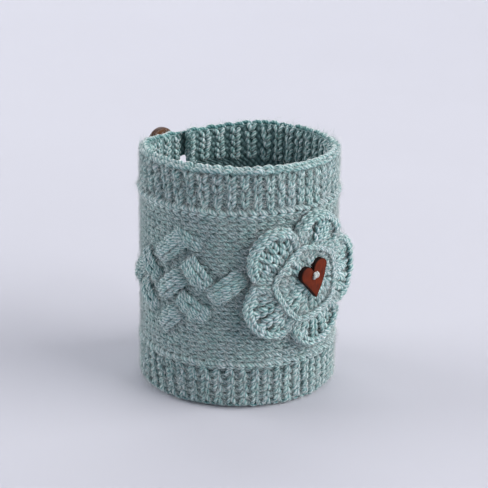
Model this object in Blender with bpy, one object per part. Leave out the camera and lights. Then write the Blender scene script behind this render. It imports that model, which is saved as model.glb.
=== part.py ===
"""Knitted sleeve cosy with two woven cables, a crocheted flower and a buttoned tab behind.

Metres, +Z up. The hem stands on z = 0 and Z is the sleeve's axis. The flower faces -Y and
the slot faces +Y. "Around" is an angle from the flower's middle, towards +X. "Along" is
that angle as a length on the plain knitting. "Up" is the height above the hem.
"""

import math
from collections import namedtuple

import bmesh
import bpy
import numpy as np

# Sleeve
HEIGHT = 0.1360
INNER_RADIUS = 0.0490
GROUND_RADIUS = 0.0550  # face of the plain knitting
BAND_HEIGHT = 0.0225  # each ribbed band, at the hem and at the top
RIB_COUNT = 46
RIB_GROOVE_RADIUS = 0.0530
RIB_RISE = 0.0026
RIB_CROWDING = 0.25  # how much closer the ribs stand in front, where the knitting stretches least
RIB_CROWD_REACH = math.radians(100)
HEM_FLARE = 0.0006
LEDGE_RISE = 0.0013  # the raised row where a band was picked up from the panel
LEDGE_HALF_WIDTH = 0.0024
LEDGE_HEIGHTS = (BAND_HEIGHT + 0.0025, HEIGHT - BAND_HEIGHT - 0.0015)
BAND_BLEND = 0.0020  # height over which a band becomes the panel
EDGE_ROUND = 0.0012
EDGE_SCALLOP = 0.0007
UNEVEN = 0.0004  # slow waves of the panel, in which the yarn is less than even
UNEVEN_FROM = 0.85  # angle from the flower at which the waves start, and over which they rise
UNEVEN_BLEND = 0.35
BAND_LEAN = 0.20  # how far the bands' ribs lean where the tab pulls them, metres per metre
LEAN_MIDDLE = math.radians(-98)
LEAN_REACH = math.radians(75)

# Slot behind
SLOT_FLOOR = 0.0340
SLOT_CEILING = HEIGHT - BAND_HEIGHT
SLOT_ROUND = 0.0130
SLOT_NARROW = 0.32  # the slot's width at its floor and in the top band, as a share of its full width
SLOT_RIBS = 4  # ribs' width that the slot takes out of the panel
SLOT_EASE_RIBS = 5  # ribs each side over which the knitting closes up round the slot
RIM_DIP = 0.0035  # how far the tab pulls the rim down beside the slot
RIM_DIP_FROM = math.radians(122)
RIM_DIP_TO = math.radians(165)

# Mesh of the sleeve
COLUMNS_PER_RIB = 3
RIB_WAVE_PEAK = 0.75  # the highest that three points a rib come on a whole wave
HEM_ROWS = (0.0, EDGE_ROUND, 0.0060, 0.0210, 0.0230, 0.0250, 0.0273, SLOT_FLOOR)
TOP_ROWS = (0.1075, 0.1097, 0.1120, SLOT_CEILING, 0.1160, 0.1300, HEIGHT - EDGE_ROUND, HEIGHT)
INNER_ROWS_IN_CORNERS = 5  # rows of points on the inner face at each rounded end of the slot
CABLE_LOW = 0.0370
CABLE_HIGH = 0.1020
CABLE_ROW_STEP = 0.0036

# Woven cables: the strands that lie on top, from the middle of a motif
Strand = namedtuple("Strand", "along up lean length half_width rise")
MOTIFS_ALONG = (-0.0800, 0.0840)
STRANDS = (
    Strand(0.0353, 0.0703, 38, 0.0245, 0.0058, 0.0036),
    Strand(0.0187, 0.0768, -50, 0.0205, 0.0059, 0.0038),
    Strand(0.0157, 0.0570, -30, 0.0222, 0.0056, 0.0030),
    Strand(0.0125, 0.0950, -20, 0.0190, 0.0042, 0.0018),
    Strand(0.0018, 0.0885, 42, 0.0250, 0.0058, 0.0038),
    Strand(0.0017, 0.0670, 42, 0.0220, 0.0058, 0.0036),
    Strand(0.0005, 0.0470, 45, 0.0190, 0.0052, 0.0026),
    Strand(-0.0150, 0.0750, -42, 0.0205, 0.0058, 0.0036),
    Strand(-0.0175, 0.0565, -45, 0.0205, 0.0056, 0.0032),
    Strand(-0.0345, 0.0645, 45, 0.0215, 0.0058, 0.0028),
)

# Flower, flat sizes from its own middle
GAP = 0.0003  # what two pieces that touch keep between them
FLOWER_UP = 0.0728
FLOWER_WRAP_RADIUS = 0.0590
FLOWER_SEAT = GROUND_RADIUS + GAP
FLOWER_LIFT_RIGHT = 0.0040  # how far the petals stand off the sleeve at each side's edge
FLOWER_LIFT_LEFT = 0.0012
FLOWER_HALF_WIDTH = 0.0400
Petal = namedtuple("Petal", "start end reach start_valley end_valley")
PETALS = (  # degrees about the flower's middle, and distances from it in metres
    Petal(-40, 40, 0.0400, 0.0300, 0.0300),
    Petal(40, 109, 0.0382, 0.0300, 0.0268),
    Petal(109, 179, 0.0405, 0.0268, 0.0305),
    Petal(179, 247, 0.0422, 0.0305, 0.0280),
    Petal(247, 320, 0.0397, 0.0280, 0.0300),
)
PETAL_FULLNESS = 0.70  # 0.5 is a half ellipse, and more is narrower
PETAL_FLOOR = 0.0034
PETAL_ROLL = 0.0030
ROLL_WIDTH = 0.0056
PETAL_SHOULDER = 0.0018
ROSETTE_RADIUS = 0.0215
ROSETTE_FLOOR = 0.0052
ROSETTE_ROLL = 0.0016
ROSETTE_ROLL_RADIUS = 0.0185
ROSETTE_ROLL_HALF_WIDTH = 0.0040
ROSETTE_SHIFT = 0.0018  # how far the rosette's edge is pulled to one side
ROSETTE_SHIFT_TURN = math.radians(213)
FLOWER_EDGE = 0.0020
COLUMNS_PER_PETAL = 16
ROSETTE_RINGS = (0.0055, 0.0115, 0.0160, 0.0190, 0.0215)
PETAL_RINGS = (0.22, 0.44, 0.64, 0.80, 0.92, 1.0)
BACK_RINGS = (0.94, 0.75, 0.56, 0.37, 0.18)

# Heart button
HEART_HEIGHT = 0.0200
HEART_NOTCH = 0.0042
HEART_LOBE_ACROSS = 0.0046
HEART_LOBE_RADIUS = 0.0042
HEART_LOBE_START = math.radians(150)
HEART_LOBE_END = math.radians(-38)
HEART_LOBE_STEPS = 13
HEART_SIDE_BOW = (0.0055, -0.0100)
HEART_WIDE_BOW = (0.0064, -0.0125)  # where the bowed side's end tangents meet
HEART_SIDE_STEPS = 6
HEART_TIP_SHIFT = -0.0006
HEART_WIDE_HALF = 1.14  # how much wider one half is cut than the other
HEART_SKEW = 0.14  # how much higher one lobe is cut than the other, metres per metre across
HEART_THICKNESS = 0.0037
HEART_TURN = math.radians(12)
HEART_ALONG = 0.0000
HEART_UP = 0.0729
HEART_HOLE_RADIUS = 0.0020
HEART_HOLE = (0.0006, 0.0031)  # across and up from the heart's middle, before it is turned
HEART_BEVEL = 0.0006
HEART_HOLE_SIDES = 16
HEART_THREAD_GAP = 0.0004
THREAD_PROUD = 0.0007
THREAD_DOME_STEPS = 5

# Tab behind
TAB_START = math.radians(164)
TAB_END = math.radians(200)
TAB_LOW = 0.1165
TAB_HIGH = 0.1305
TAB_THICKNESS = 0.0038
TAB_SEAT = RIB_GROOVE_RADIUS + RIB_RISE + UNEVEN + GAP
TAB_STEPS = 20
TAB_WALES = 3
POINTS_PER_WALE = 4
WALE_RISE = 0.0005
TAB_TIP = 0.25  # the tab's height at its very ends, as a share of its full height
TAB_TIP_THICKNESS = 0.45
TAB_EDGE = 0.35  # the tab's thickness at its long edges, as a share of the whole

# Round button behind
BUTTON_AROUND = math.radians(187.0)
BUTTON_UP = 0.1240
BUTTON_RADIUS = 0.0098
BUTTON_THICKNESS = 0.0040
BUTTON_HOLE_RADIUS = 0.0014
BUTTON_HOLE_REACH = 0.0028
BUTTON_EDGE = 0.0012
BUTTON_DISH = 0.0007
BUTTON_DISH_RADIUS = 0.0060
BUTTON_RIM_RADIUS = 0.0078
BUTTON_SIDES = 36
THREAD_RADIUS = 0.0009
THREAD_BEND = 0.0013
THREAD_BEND_STEPS = 4
THREAD_FOOT = 0.0004  # height at which the thread's two ends start in their holes

FULL_TURN = 2 * math.pi
COLUMNS = RIB_COUNT * COLUMNS_PER_RIB


def ease(x):
    """0 below 0, 1 above 1, and a smooth rise between."""
    x = np.clip(x, 0.0, 1.0)
    return x * x * (3 - 2 * x)


def bump(x):
    """1 at 0, falling smoothly to 0 at 1 and -1."""
    return np.cos(np.clip(x, -1.0, 1.0) * math.pi / 2) ** 2


def on_sleeve(around, radius, up):
    """Point at an angle from the front, a distance from the axis and a height."""
    return (radius * math.sin(around), -radius * math.cos(around), up)


def new_piece(name, mesh, colour, roughness):
    """Link an object with its own material, shaded smooth but for its sharp edges."""
    material = bpy.data.materials.new(name)
    material.use_nodes = True
    shader = material.node_tree.nodes["Principled BSDF"]
    shader.inputs["Base Color"].default_value = (*colour, 1.0)
    shader.inputs["Roughness"].default_value = roughness
    shader.inputs["Metallic"].default_value = 0.0
    mesh.materials.append(material)
    piece = bpy.data.objects.new(name, mesh)
    bpy.context.collection.objects.link(piece)
    if isinstance(mesh, bpy.types.Mesh):
        mesh.shade_smooth()
        mesh.set_sharp_from_angle(angle=math.radians(50))
    return piece


def mesh_from(name, points, faces):
    """Mesh of points and faces, with its faces turned outward."""
    mesh = bpy.data.meshes.new(name)
    mesh.from_pydata(points, [], faces)
    shell = bmesh.new()
    shell.from_mesh(mesh)
    bmesh.ops.recalc_face_normals(shell, faces=shell.faces)
    shell.to_mesh(mesh)
    shell.free()
    return mesh


def turned_mesh(name, profile, sides):
    """Mesh turned round Z from pairs of distance and level, closed flat at both its ends."""
    points = []
    for distance, level in profile:
        for side in range(sides):
            turn = FULL_TURN * side / sides
            points.append((distance * math.cos(turn), distance * math.sin(turn), level))
    last = (len(profile) - 1) * sides
    faces = [list(range(sides)), list(range(last, last + sides))]
    for low in range(0, last, sides):
        for side in range(sides):
            right = (side + 1) % sides
            faces.append([low + side, low + right, low + sides + right, low + sides + side])
    return mesh_from(name, points, faces)


def cable_rise(along, up):
    """How far the cable strands stand off the plain knitting."""
    rise = 0.0
    for middle in MOTIFS_ALONG:
        for strand in STRANDS:
            lean = math.radians(strand.lean)
            across = along - middle - strand.along
            above = up - strand.up
            run = across * math.cos(lean) + above * math.sin(lean)
            side = above * math.cos(lean) - across * math.sin(lean)
            section = max(0.0, 1 - (side / strand.half_width) ** 2) ** 0.5
            taper = max(0.0, 1 - (2 * run / strand.length) ** 4)
            rise = max(rise, strand.rise * section * taper)
    return rise


def rib_wave(column):
    """0 in the grooves and 1 on the ribs, at a column of points."""
    return (0.5 - 0.5 * math.cos(FULL_TURN * column / COLUMNS_PER_RIB)) / RIB_WAVE_PEAK


def outer_radius(around, up, rib):
    """Distance from the axis to the sleeve's outer face. Around runs from -pi to pi."""
    hem_band = 1 - ease((up - BAND_HEIGHT) / BAND_BLEND + 0.5)
    top_band = ease((up - HEIGHT + BAND_HEIGHT) / BAND_BLEND + 0.5)
    band = max(hem_band, top_band)
    radius = GROUND_RADIUS + band * (RIB_GROOVE_RADIUS + RIB_RISE * rib - GROUND_RADIUS)
    for ledge in LEDGE_HEIGHTS:
        radius += LEDGE_RISE * bump((up - ledge) / LEDGE_HALF_WIDTH)
    radius += cable_rise(around * GROUND_RADIUS, up)
    radius += HEM_FLARE * ease(1 - up / BAND_HEIGHT)
    away_from_flower = ease((abs(around) - UNEVEN_FROM) / UNEVEN_BLEND)
    wave = math.sin(3 * around + 0.6) * math.sin(FULL_TURN * up / HEIGHT + 0.8)
    return radius + UNEVEN * away_from_flower * (1 - band) * wave


def lean_shift(around, up):
    """Angle by which a band's ribs have moved, at this height, where the tab pulls them."""
    pull = BAND_LEAN * float(bump((around - LEAN_MIDDLE) / LEAN_REACH))
    past_top = max(0.0, up - HEIGHT + BAND_HEIGHT)
    past_hem = max(0.0, BAND_HEIGHT - up)
    return pull * (past_hem - past_top) / GROUND_RADIUS


def crowded(turn):
    """Angle of a column of points from its even share of a turn: the ribs crowd in front."""
    across = min(1.0, max(-1.0, turn / RIB_CROWD_REACH))
    taken = RIB_CROWD_REACH * ((across + 1) / 2 + math.sin(math.pi * across) / FULL_TURN)
    even = RIB_CROWD_REACH * (turn + math.pi) / FULL_TURN
    return turn - RIB_CROWDING * (taken - even)


def column_around(column, up):
    """Angle of a column of points: the columns part round the slot and close up below it."""
    step = FULL_TURN / COLUMNS
    edge = SLOT_RIBS / 2 * COLUMNS_PER_RIB
    far = edge + SLOT_EASE_RIBS * COLUMNS_PER_RIB
    from_slot = column - COLUMNS / 2
    into_slot = min(up - SLOT_FLOOR, SLOT_CEILING - up) / SLOT_ROUND
    reach = math.sqrt(1 - (1 - min(1.0, max(0.0, into_slot))) ** 2)
    if up < SLOT_FLOOR:
        reach = float(ease(1 - up / SLOT_FLOOR))
    narrow = SLOT_NARROW + (1 - SLOT_NARROW) * reach
    distance = abs(from_slot)
    if distance <= edge:
        distance *= narrow
    elif distance < far:
        distance = edge * narrow + (distance - edge) * (far - edge * narrow) / (far - edge)
    around = math.copysign(distance, from_slot) * step + math.pi
    around = crowded((around + math.pi) % FULL_TURN - math.pi)
    return around + lean_shift(around, up)


def sleeve_rows():
    """Heights of the rows of points up the outer face."""
    cable_count = round((CABLE_HIGH - CABLE_LOW) / CABLE_ROW_STEP)
    cable = np.linspace(CABLE_LOW, CABLE_HIGH, cable_count + 1)
    return [*HEM_ROWS, *cable, *TOP_ROWS]


def make_sleeve():
    """The knitted sleeve: an outer face with its relief, a plain inner face and a slot."""
    rows = sleeve_rows()
    floor = rows.index(SLOT_FLOOR)
    last = len(rows) - 1
    half = SLOT_RIBS * COLUMNS_PER_RIB // 2
    middle = COLUMNS // 2
    slot = range(middle - half, middle + half)
    ceiling = rows.index(SLOT_CEILING)
    corners = INNER_ROWS_IN_CORNERS
    inner_rows = [0, *range(floor, floor + corners), *range(ceiling - corners, ceiling + 1), last]
    points = []
    outer = {}
    inner = {}
    for row, up in enumerate(rows):
        for column in range(COLUMNS):
            if row > floor and middle - half < column < middle + half:
                continue
            around = column_around(column, up)
            rib = rib_wave(column)
            radius = outer_radius(around, up, rib)
            dip = RIM_DIP * float(ease((abs(around) - RIM_DIP_FROM) / (RIM_DIP_TO - RIM_DIP_FROM)))
            height = up - dip * float(ease((up - HEIGHT + BAND_HEIGHT) / BAND_HEIGHT))
            on_edge = row in (0, last)
            on_slot = row >= floor and middle - half <= column <= middle + half
            if on_edge or on_slot:
                radius -= EDGE_ROUND
            if row == last:
                height += EDGE_SCALLOP * rib
            outer[row, column] = len(points)
            points.append(on_sleeve(around, radius, height))
            if row in inner_rows and column % COLUMNS_PER_RIB == 0:
                inner[row, column] = len(points)
                rounded = EDGE_ROUND / 3 if on_edge or on_slot else 0.0
                points.append(on_sleeve(around, INNER_RADIUS + rounded, min(height, up)))
    faces = []
    for row in range(last):
        for column in range(COLUMNS):
            if row >= floor and column in slot:
                continue
            right = (column + 1) % COLUMNS
            faces.append(
                [outer[row, column], outer[row, right], outer[row + 1, right], outer[row + 1, column]]
            )
    for low, high in zip(inner_rows, inner_rows[1:]):
        for column in range(0, COLUMNS, COLUMNS_PER_RIB):
            if low >= floor and column in slot:
                continue
            right = (column + COLUMNS_PER_RIB) % COLUMNS
            faces.append(
                [inner[low, column], inner[high, column], inner[high, right], inner[low, right]]
            )
        if low >= floor:
            for column in (middle - half, middle + half):
                wall = [outer[row, column] for row in range(low, high + 1)]
                faces.append(wall + [inner[high, column], inner[low, column]])
    for column in range(0, COLUMNS, COLUMNS_PER_RIB):
        right = (column + COLUMNS_PER_RIB) % COLUMNS
        for row in (0, floor, last):
            in_slot = column in slot
            if (row == floor and not in_slot) or (row == last and in_slot):
                continue
            rim = [outer[row, (column + k) % COLUMNS] for k in range(COLUMNS_PER_RIB + 1)]
            faces.append(rim + [inner[row, right], inner[row, column]])
    new_piece("sleeve", mesh_from("sleeve", points, faces), (0.36, 0.50, 0.50), 0.95)


def petal_edge(petal, share):
    """Distance from the flower's middle to its edge, at a share of the way over a petal."""
    bow = max(0.0, 1 - (2 * share - 1) ** 2) ** PETAL_FULLNESS
    valley = petal.start_valley + share * (petal.end_valley - petal.start_valley)
    return valley + (petal.reach - valley) * bow


def petal_turn(petal, share):
    """Turn about the flower's middle at a share of the way over a petal."""
    return math.radians(petal.start + share * (petal.end - petal.start))


def rosette_scale(turn):
    """How much farther than its even radius a ring of the rosette runs in one direction."""
    return 1 + ROSETTE_SHIFT / ROSETTE_RADIUS * math.cos(turn - ROSETTE_SHIFT_TURN)


def flower_height(petal, share, distance):
    """How far the flower's face stands off its back, at this place on it."""
    even = distance / rosette_scale(petal_turn(petal, share))
    if even <= ROSETTE_RADIUS + GAP / 10:
        roll = float(bump((even - ROSETTE_ROLL_RADIUS) / ROSETTE_ROLL_HALF_WIDTH))
        return ROSETTE_FLOOR + ROSETTE_ROLL * roll
    to_valley = math.radians(petal.end - petal.start) * min(share, 1 - share) * distance
    from_edge = min(petal_edge(petal, share) - distance, to_valley)
    body = (PETAL_FLOOR - FLOWER_EDGE) * float(ease(from_edge / PETAL_SHOULDER))
    roll = PETAL_ROLL * float(bump((from_edge - ROLL_WIDTH / 2) / (ROLL_WIDTH / 2)))
    return FLOWER_EDGE + body + roll


def on_flower(across, above, height):
    """Point of the flower: its flat sizes wrapped round the sleeve, its edges standing off."""
    lift = (across / FLOWER_HALF_WIDTH) ** 2
    lift *= FLOWER_LIFT_RIGHT if across > 0 else FLOWER_LIFT_LEFT
    radius = FLOWER_SEAT + lift + height
    return on_sleeve(across / FLOWER_WRAP_RADIUS, radius, FLOWER_UP + above)


def make_flower():
    """The crocheted flower: petals with rolled rims round a raised rosette."""
    spokes = []
    for petal in PETALS:
        for step in range(COLUMNS_PER_PETAL):
            share = step / COLUMNS_PER_PETAL
            spokes.append((petal, share, petal_turn(petal, share)))
    points = [on_flower(0.0, 0.0, ROSETTE_FLOOR)]
    for ring in ROSETTE_RINGS:
        for petal, share, turn in spokes:
            distance = ring * rosette_scale(turn)
            height = flower_height(petal, share, distance)
            points.append(on_flower(distance * math.cos(turn), distance * math.sin(turn), height))
    for ring_share in PETAL_RINGS:
        for petal, share, turn in spokes:
            edge = petal_edge(petal, share)
            rosette = ROSETTE_RADIUS * rosette_scale(turn)
            distance = rosette + ring_share * (edge - rosette)
            height = flower_height(petal, share, distance)
            points.append(on_flower(distance * math.cos(turn), distance * math.sin(turn), height))
    for ring_share in BACK_RINGS:
        for petal, share, turn in spokes:
            distance = ring_share * petal_edge(petal, share)
            points.append(on_flower(distance * math.cos(turn), distance * math.sin(turn), 0.0))
    points.append(on_flower(0.0, 0.0, 0.0))
    columns = len(spokes)
    rings = len(ROSETTE_RINGS + PETAL_RINGS + BACK_RINGS)
    faces = []
    for column in range(columns):
        right = (column + 1) % columns
        faces.append([0, 1 + column, 1 + right])
        for ring in range(rings - 1):
            low = 1 + ring * columns
            high = low + columns
            faces.append([low + column, high + column, high + right, low + right])
        outer = 1 + (rings - 1) * columns
        faces.append([outer + column, len(points) - 1, outer + right])
    new_piece("flower", mesh_from("flower", points, faces), (0.42, 0.56, 0.56), 0.95)


def half_heart(bow):
    """Points from an upright heart's notch round one lobe and down a bowed side to its tip."""
    half = [(0.0, -HEART_NOTCH)]
    for step in range(HEART_LOBE_STEPS + 1):
        turn = HEART_LOBE_START + (HEART_LOBE_END - HEART_LOBE_START) * step / HEART_LOBE_STEPS
        across = HEART_LOBE_ACROSS + HEART_LOBE_RADIUS * math.cos(turn)
        half.append((across, HEART_LOBE_RADIUS * (math.sin(turn) - 1)))
    start = half[-1]
    for step in range(1, HEART_SIDE_STEPS + 1):
        share = step / HEART_SIDE_STEPS
        weights = ((1 - share) ** 2, 2 * share * (1 - share), share**2)
        corners = (start, bow, (0.0, -HEART_HEIGHT))
        half.append(tuple(sum(w * c[k] for w, c in zip(weights, corners)) for k in (0, 1)))
    return half


def heart_outline():
    """Points round the heart: one half cut wider and higher than the other."""
    wide = half_heart(HEART_WIDE_BOW)
    other = [(-across, level) for across, level in reversed(half_heart(HEART_SIDE_BOW)[1:-1])]
    outline = []
    for across, level in wide + other:
        down = -level / HEART_HEIGHT
        above = level + HEART_HEIGHT / 2 + HEART_SKEW * across
        across *= HEART_WIDE_HALF if across > 0 else 1.0
        outline.append((across + HEART_TIP_SHIFT * down**2, above))
    return outline


def drill(piece, radius, sides, across, above):
    """Cut a round hole through a button, at a place on its own face."""
    bpy.ops.mesh.primitive_cylinder_add(vertices=sides, radius=radius, depth=0.02)
    cutter = bpy.context.object
    cutter.name = piece.name + "_drill"
    cutter.parent = piece
    cutter.location = (across, above, 0.0)
    cutter.hide_render = True
    cutter.display_type = "WIRE"
    cut = piece.modifiers.new(cutter.name, "BOOLEAN")
    cut.operation = "DIFFERENCE"
    cut.solver = "EXACT"
    cut.object = cutter


def face_outward(piece, around, radius, up, turn):
    """Stand a piece, modelled flat with +Z as its face, on the sleeve facing outward."""
    piece.location = on_sleeve(around, radius, up)
    piece.rotation_mode = "XYZ"
    piece.rotation_euler = (math.pi / 2, turn, around)


def drawn_in(outline, depth):
    """The outline, counter-clockwise or clockwise, moved inward by a small depth."""
    corners = np.array(outline)
    before = corners - np.roll(corners, 1, axis=0)
    after = np.roll(corners, -1, axis=0) - corners
    before /= np.linalg.norm(before, axis=1)[:, None]
    after /= np.linalg.norm(after, axis=1)[:, None]
    along = before + after
    along /= np.linalg.norm(along, axis=1)[:, None]
    x, y = corners.T
    area = np.sum(x * np.roll(y, -1) - y * np.roll(x, -1))
    inward = np.stack([-along[:, 1], along[:, 0]], axis=1) * np.sign(area)
    miter = np.clip(np.sum(along * after, axis=1), 0.6, 1.0)[:, None]
    return corners + inward * depth / miter


def make_heart():
    """The flat wooden heart with softened edges and one sewing hole."""
    outline = heart_outline()
    count = len(outline)
    soft = HEART_BEVEL
    steps = [(soft, 0.0), (soft / 3, soft / 3), (0.0, soft)]
    steps += [(depth, HEART_THICKNESS - level) for depth, level in reversed(steps)]
    points = []
    for depth, level in steps:
        points += [(across, above, level) for across, above in drawn_in(outline, depth)]
    last = (len(steps) - 1) * count
    faces = [list(range(count)), list(range(last, last + count))]
    for ring in range(len(steps) - 1):
        for side in range(count):
            low = ring * count
            right = (side + 1) % count
            faces.append([low + side, low + right, low + count + right, low + count + side])
    mesh = mesh_from("heart_button", points, faces)
    heart = new_piece("heart_button", mesh, (0.26, 0.05, 0.02), 0.4)
    around = HEART_ALONG / FLOWER_WRAP_RADIUS
    seat = FLOWER_SEAT + ROSETTE_FLOOR + GAP
    face_outward(heart, around, seat, HEART_UP, -HEART_TURN)
    drill(heart, HEART_HOLE_RADIUS, HEART_HOLE_SIDES, *HEART_HOLE)
    return heart


def make_heart_thread(heart):
    """The pale thread that fills the heart's hole and stands a little proud of its face."""
    radius = HEART_HOLE_RADIUS - HEART_THREAD_GAP
    straight = HEART_THICKNESS + THREAD_PROUD - radius / 2
    profile = [(radius, 0.0)]
    for step in range(THREAD_DOME_STEPS):
        rise = step / THREAD_DOME_STEPS * math.pi / 2
        profile.append((radius * math.cos(rise), straight + radius / 2 * math.sin(rise)))
    mesh = turned_mesh("heart_thread", profile, HEART_HOLE_SIDES)
    thread = new_piece("heart_thread", mesh, (0.80, 0.82, 0.80), 0.8)
    thread.parent = heart
    thread.location = (*HEART_HOLE, 0.0)


def tab_section(share):
    """Radius and height of the points round the tab, at a share of its length."""
    length = (TAB_END - TAB_START) * TAB_SEAT
    half = (TAB_HIGH - TAB_LOW) / 2
    middle = (TAB_HIGH + TAB_LOW) / 2
    from_end = min(share, 1 - share) * length
    narrow = math.sqrt(max(0.0, 1 - (1 - min(1.0, from_end / half)) ** 2))
    narrow = TAB_TIP + (1 - TAB_TIP) * narrow
    thick = TAB_THICKNESS * (TAB_TIP_THICKNESS + (1 - TAB_TIP_THICKNESS) * narrow)
    section = []
    steps = TAB_WALES * POINTS_PER_WALE
    for step in range(steps + 1):
        side = 2 * step / steps - 1
        dome = math.sqrt(max(0.0, 1 - side**6))
        wale = WALE_RISE * (0.5 - 0.5 * math.cos(FULL_TURN * TAB_WALES * step / steps))
        rise = thick * (TAB_EDGE + (1 - TAB_EDGE) * dome) + wale
        section.append((TAB_SEAT + rise, middle + half * narrow * side))
    for side in (0.8, 0.0, -0.8):
        section.append((TAB_SEAT, middle + half * narrow * side))
    return section


def make_tab():
    """The knitted tab over the slot, rounded at both ends, with wales along it."""
    points = []
    count = len(tab_section(0.5))
    for step in range(TAB_STEPS + 1):
        share = step / TAB_STEPS
        around = TAB_START + (TAB_END - TAB_START) * share
        points += [on_sleeve(around, radius, up) for radius, up in tab_section(share)]
    faces = [list(range(count)), list(range(TAB_STEPS * count, (TAB_STEPS + 1) * count))]
    for step in range(TAB_STEPS):
        low = step * count
        for side in range(count):
            right = (side + 1) % count
            faces.append([low + side, low + right, low + count + right, low + count + side])
    new_piece("closure_tab", mesh_from("closure_tab", points, faces), (0.38, 0.52, 0.52), 0.95)


def make_button():
    """The round wooden button, dished on its face, with two sewing holes."""
    floor = BUTTON_THICKNESS - BUTTON_DISH
    profile = [(BUTTON_RADIUS - BUTTON_EDGE, 0.0), (BUTTON_RADIUS, BUTTON_EDGE)]
    profile += [(BUTTON_RADIUS, BUTTON_THICKNESS - BUTTON_EDGE)]
    profile += [(BUTTON_RADIUS - BUTTON_EDGE / 2, BUTTON_THICKNESS)]
    profile += [(BUTTON_RIM_RADIUS, BUTTON_THICKNESS), (BUTTON_DISH_RADIUS, floor)]
    mesh = turned_mesh("back_button", profile, BUTTON_SIDES)
    button = new_piece("back_button", mesh, (0.16, 0.07, 0.03), 0.45)
    seat = TAB_SEAT + TAB_THICKNESS + WALE_RISE + GAP
    face_outward(button, BUTTON_AROUND, seat, BUTTON_UP, 0.0)
    for side in (-1, 1):
        drill(button, BUTTON_HOLE_RADIUS, 12, side * BUTTON_HOLE_REACH, 0.0)
    return button


def make_back_thread(button):
    """The thread that rises through one hole of the round button and falls through the other."""
    curve = bpy.data.curves.new("back_thread", "CURVE")
    curve.dimensions = "3D"
    curve.bevel_depth = THREAD_RADIUS
    curve.bevel_resolution = 2
    curve.use_fill_caps = True
    top = BUTTON_THICKNESS - BUTTON_DISH + THREAD_RADIUS + GAP
    corner = BUTTON_HOLE_REACH - THREAD_BEND
    route = [(-BUTTON_HOLE_REACH, THREAD_FOOT), (-BUTTON_HOLE_REACH, top - THREAD_BEND)]
    for step in range(1, THREAD_BEND_STEPS):
        turn = step / THREAD_BEND_STEPS * math.pi / 2
        reach = corner + THREAD_BEND * math.cos(turn)
        route.append((-reach, top - THREAD_BEND * (1 - math.sin(turn))))
    route += [(-corner, top)]
    route += [(-across, level) for across, level in reversed(route)]
    spline = curve.splines.new("POLY")
    spline.points.add(len(route) - 1)
    for point, (across, level) in zip(spline.points, route):
        point.co = (across, 0.0, level, 1.0)
    thread = new_piece("back_thread", curve, (0.80, 0.82, 0.80), 0.8)
    thread.parent = button


def main():
    """Clear the scene and make every piece."""
    for thing in list(bpy.data.objects):
        bpy.data.objects.remove(thing)
    make_sleeve()
    make_flower()
    make_heart_thread(make_heart())
    make_tab()
    make_back_thread(make_button())


main()
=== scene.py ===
"""Knitted sleeve cosy: its stitches, crocheted flower, buttons, stage, lights and camera.

Metres, +Z up. The hem stands on z = 0 and Z is the sleeve's axis. The flower faces -Y and
the slot faces +Y. A place on the knitting is its distance round the sleeve from the
flower's middle, its height above the hem and its rise off the knitting's ground.
"""

import math
from collections import namedtuple

import bmesh
import bpy
import numpy as np
from bpy.props import FloatProperty, FloatVectorProperty, IntProperty, PointerProperty
from mathutils import Euler, Matrix, Vector


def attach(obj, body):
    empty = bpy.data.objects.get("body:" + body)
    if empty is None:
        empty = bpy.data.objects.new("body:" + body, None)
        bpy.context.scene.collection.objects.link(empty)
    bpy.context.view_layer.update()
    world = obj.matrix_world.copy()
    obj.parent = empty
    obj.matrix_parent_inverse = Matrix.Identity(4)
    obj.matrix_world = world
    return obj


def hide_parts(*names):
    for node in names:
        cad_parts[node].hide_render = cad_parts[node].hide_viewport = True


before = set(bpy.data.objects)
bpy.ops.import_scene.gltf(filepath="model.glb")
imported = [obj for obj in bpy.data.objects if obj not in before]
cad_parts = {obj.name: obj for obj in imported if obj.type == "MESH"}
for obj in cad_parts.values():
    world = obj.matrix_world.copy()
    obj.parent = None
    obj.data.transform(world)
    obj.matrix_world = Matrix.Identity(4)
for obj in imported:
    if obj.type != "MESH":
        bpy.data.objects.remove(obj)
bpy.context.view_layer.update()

bl_info = {
    "name": "Knitted Sleeve Cosy",
    "version": (1, 0, 0),
    "blender": (4, 5, 0),
    "location": "3D View > Sidebar > Cosy",
    "description": "Knits, crochets and sews the pieces of a sleeve cosy",
    "category": "Object",
}

# Sleeve, as in the part's source
HEIGHT = 0.1360
INNER_RADIUS = 0.0490
GROUND_RADIUS = 0.0550
BAND_HEIGHT = 0.0225
RIB_COUNT = 46
RIB_GROOVE_RADIUS = 0.0530
RIB_RISE = 0.0026
RIB_CROWDING = 0.25
RIB_CROWD_REACH = math.radians(100)
HEM_FLARE = 0.0006
LEDGE_RISE = 0.0013
LEDGE_HALF_WIDTH = 0.0024
LEDGE_HEIGHTS = (BAND_HEIGHT + 0.0025, HEIGHT - BAND_HEIGHT - 0.0015)
BAND_BLEND = 0.0020
BAND_LEAN = 0.20
LEAN_MIDDLE = math.radians(-98)
LEAN_REACH = math.radians(75)
SLOT_FLOOR = 0.0340
SLOT_CEILING = HEIGHT - BAND_HEIGHT
SLOT_ROUND = 0.0130
SLOT_NARROW = 0.32
SLOT_HALF = 6.0  # columns from the slot's middle to its edge
SLOT_FAR = 21.0  # columns from the slot's middle to where the knitting is even again
RIM_DIP = 0.0035
RIM_DIP_FROM = math.radians(122)
RIM_DIP_TO = math.radians(165)
ROUND = 2 * math.pi * GROUND_RADIUS
SLOT_COLUMN = ROUND / (3 * RIB_COUNT) * (1 + RIB_CROWDING * RIB_CROWD_REACH / (2 * math.pi))

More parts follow.
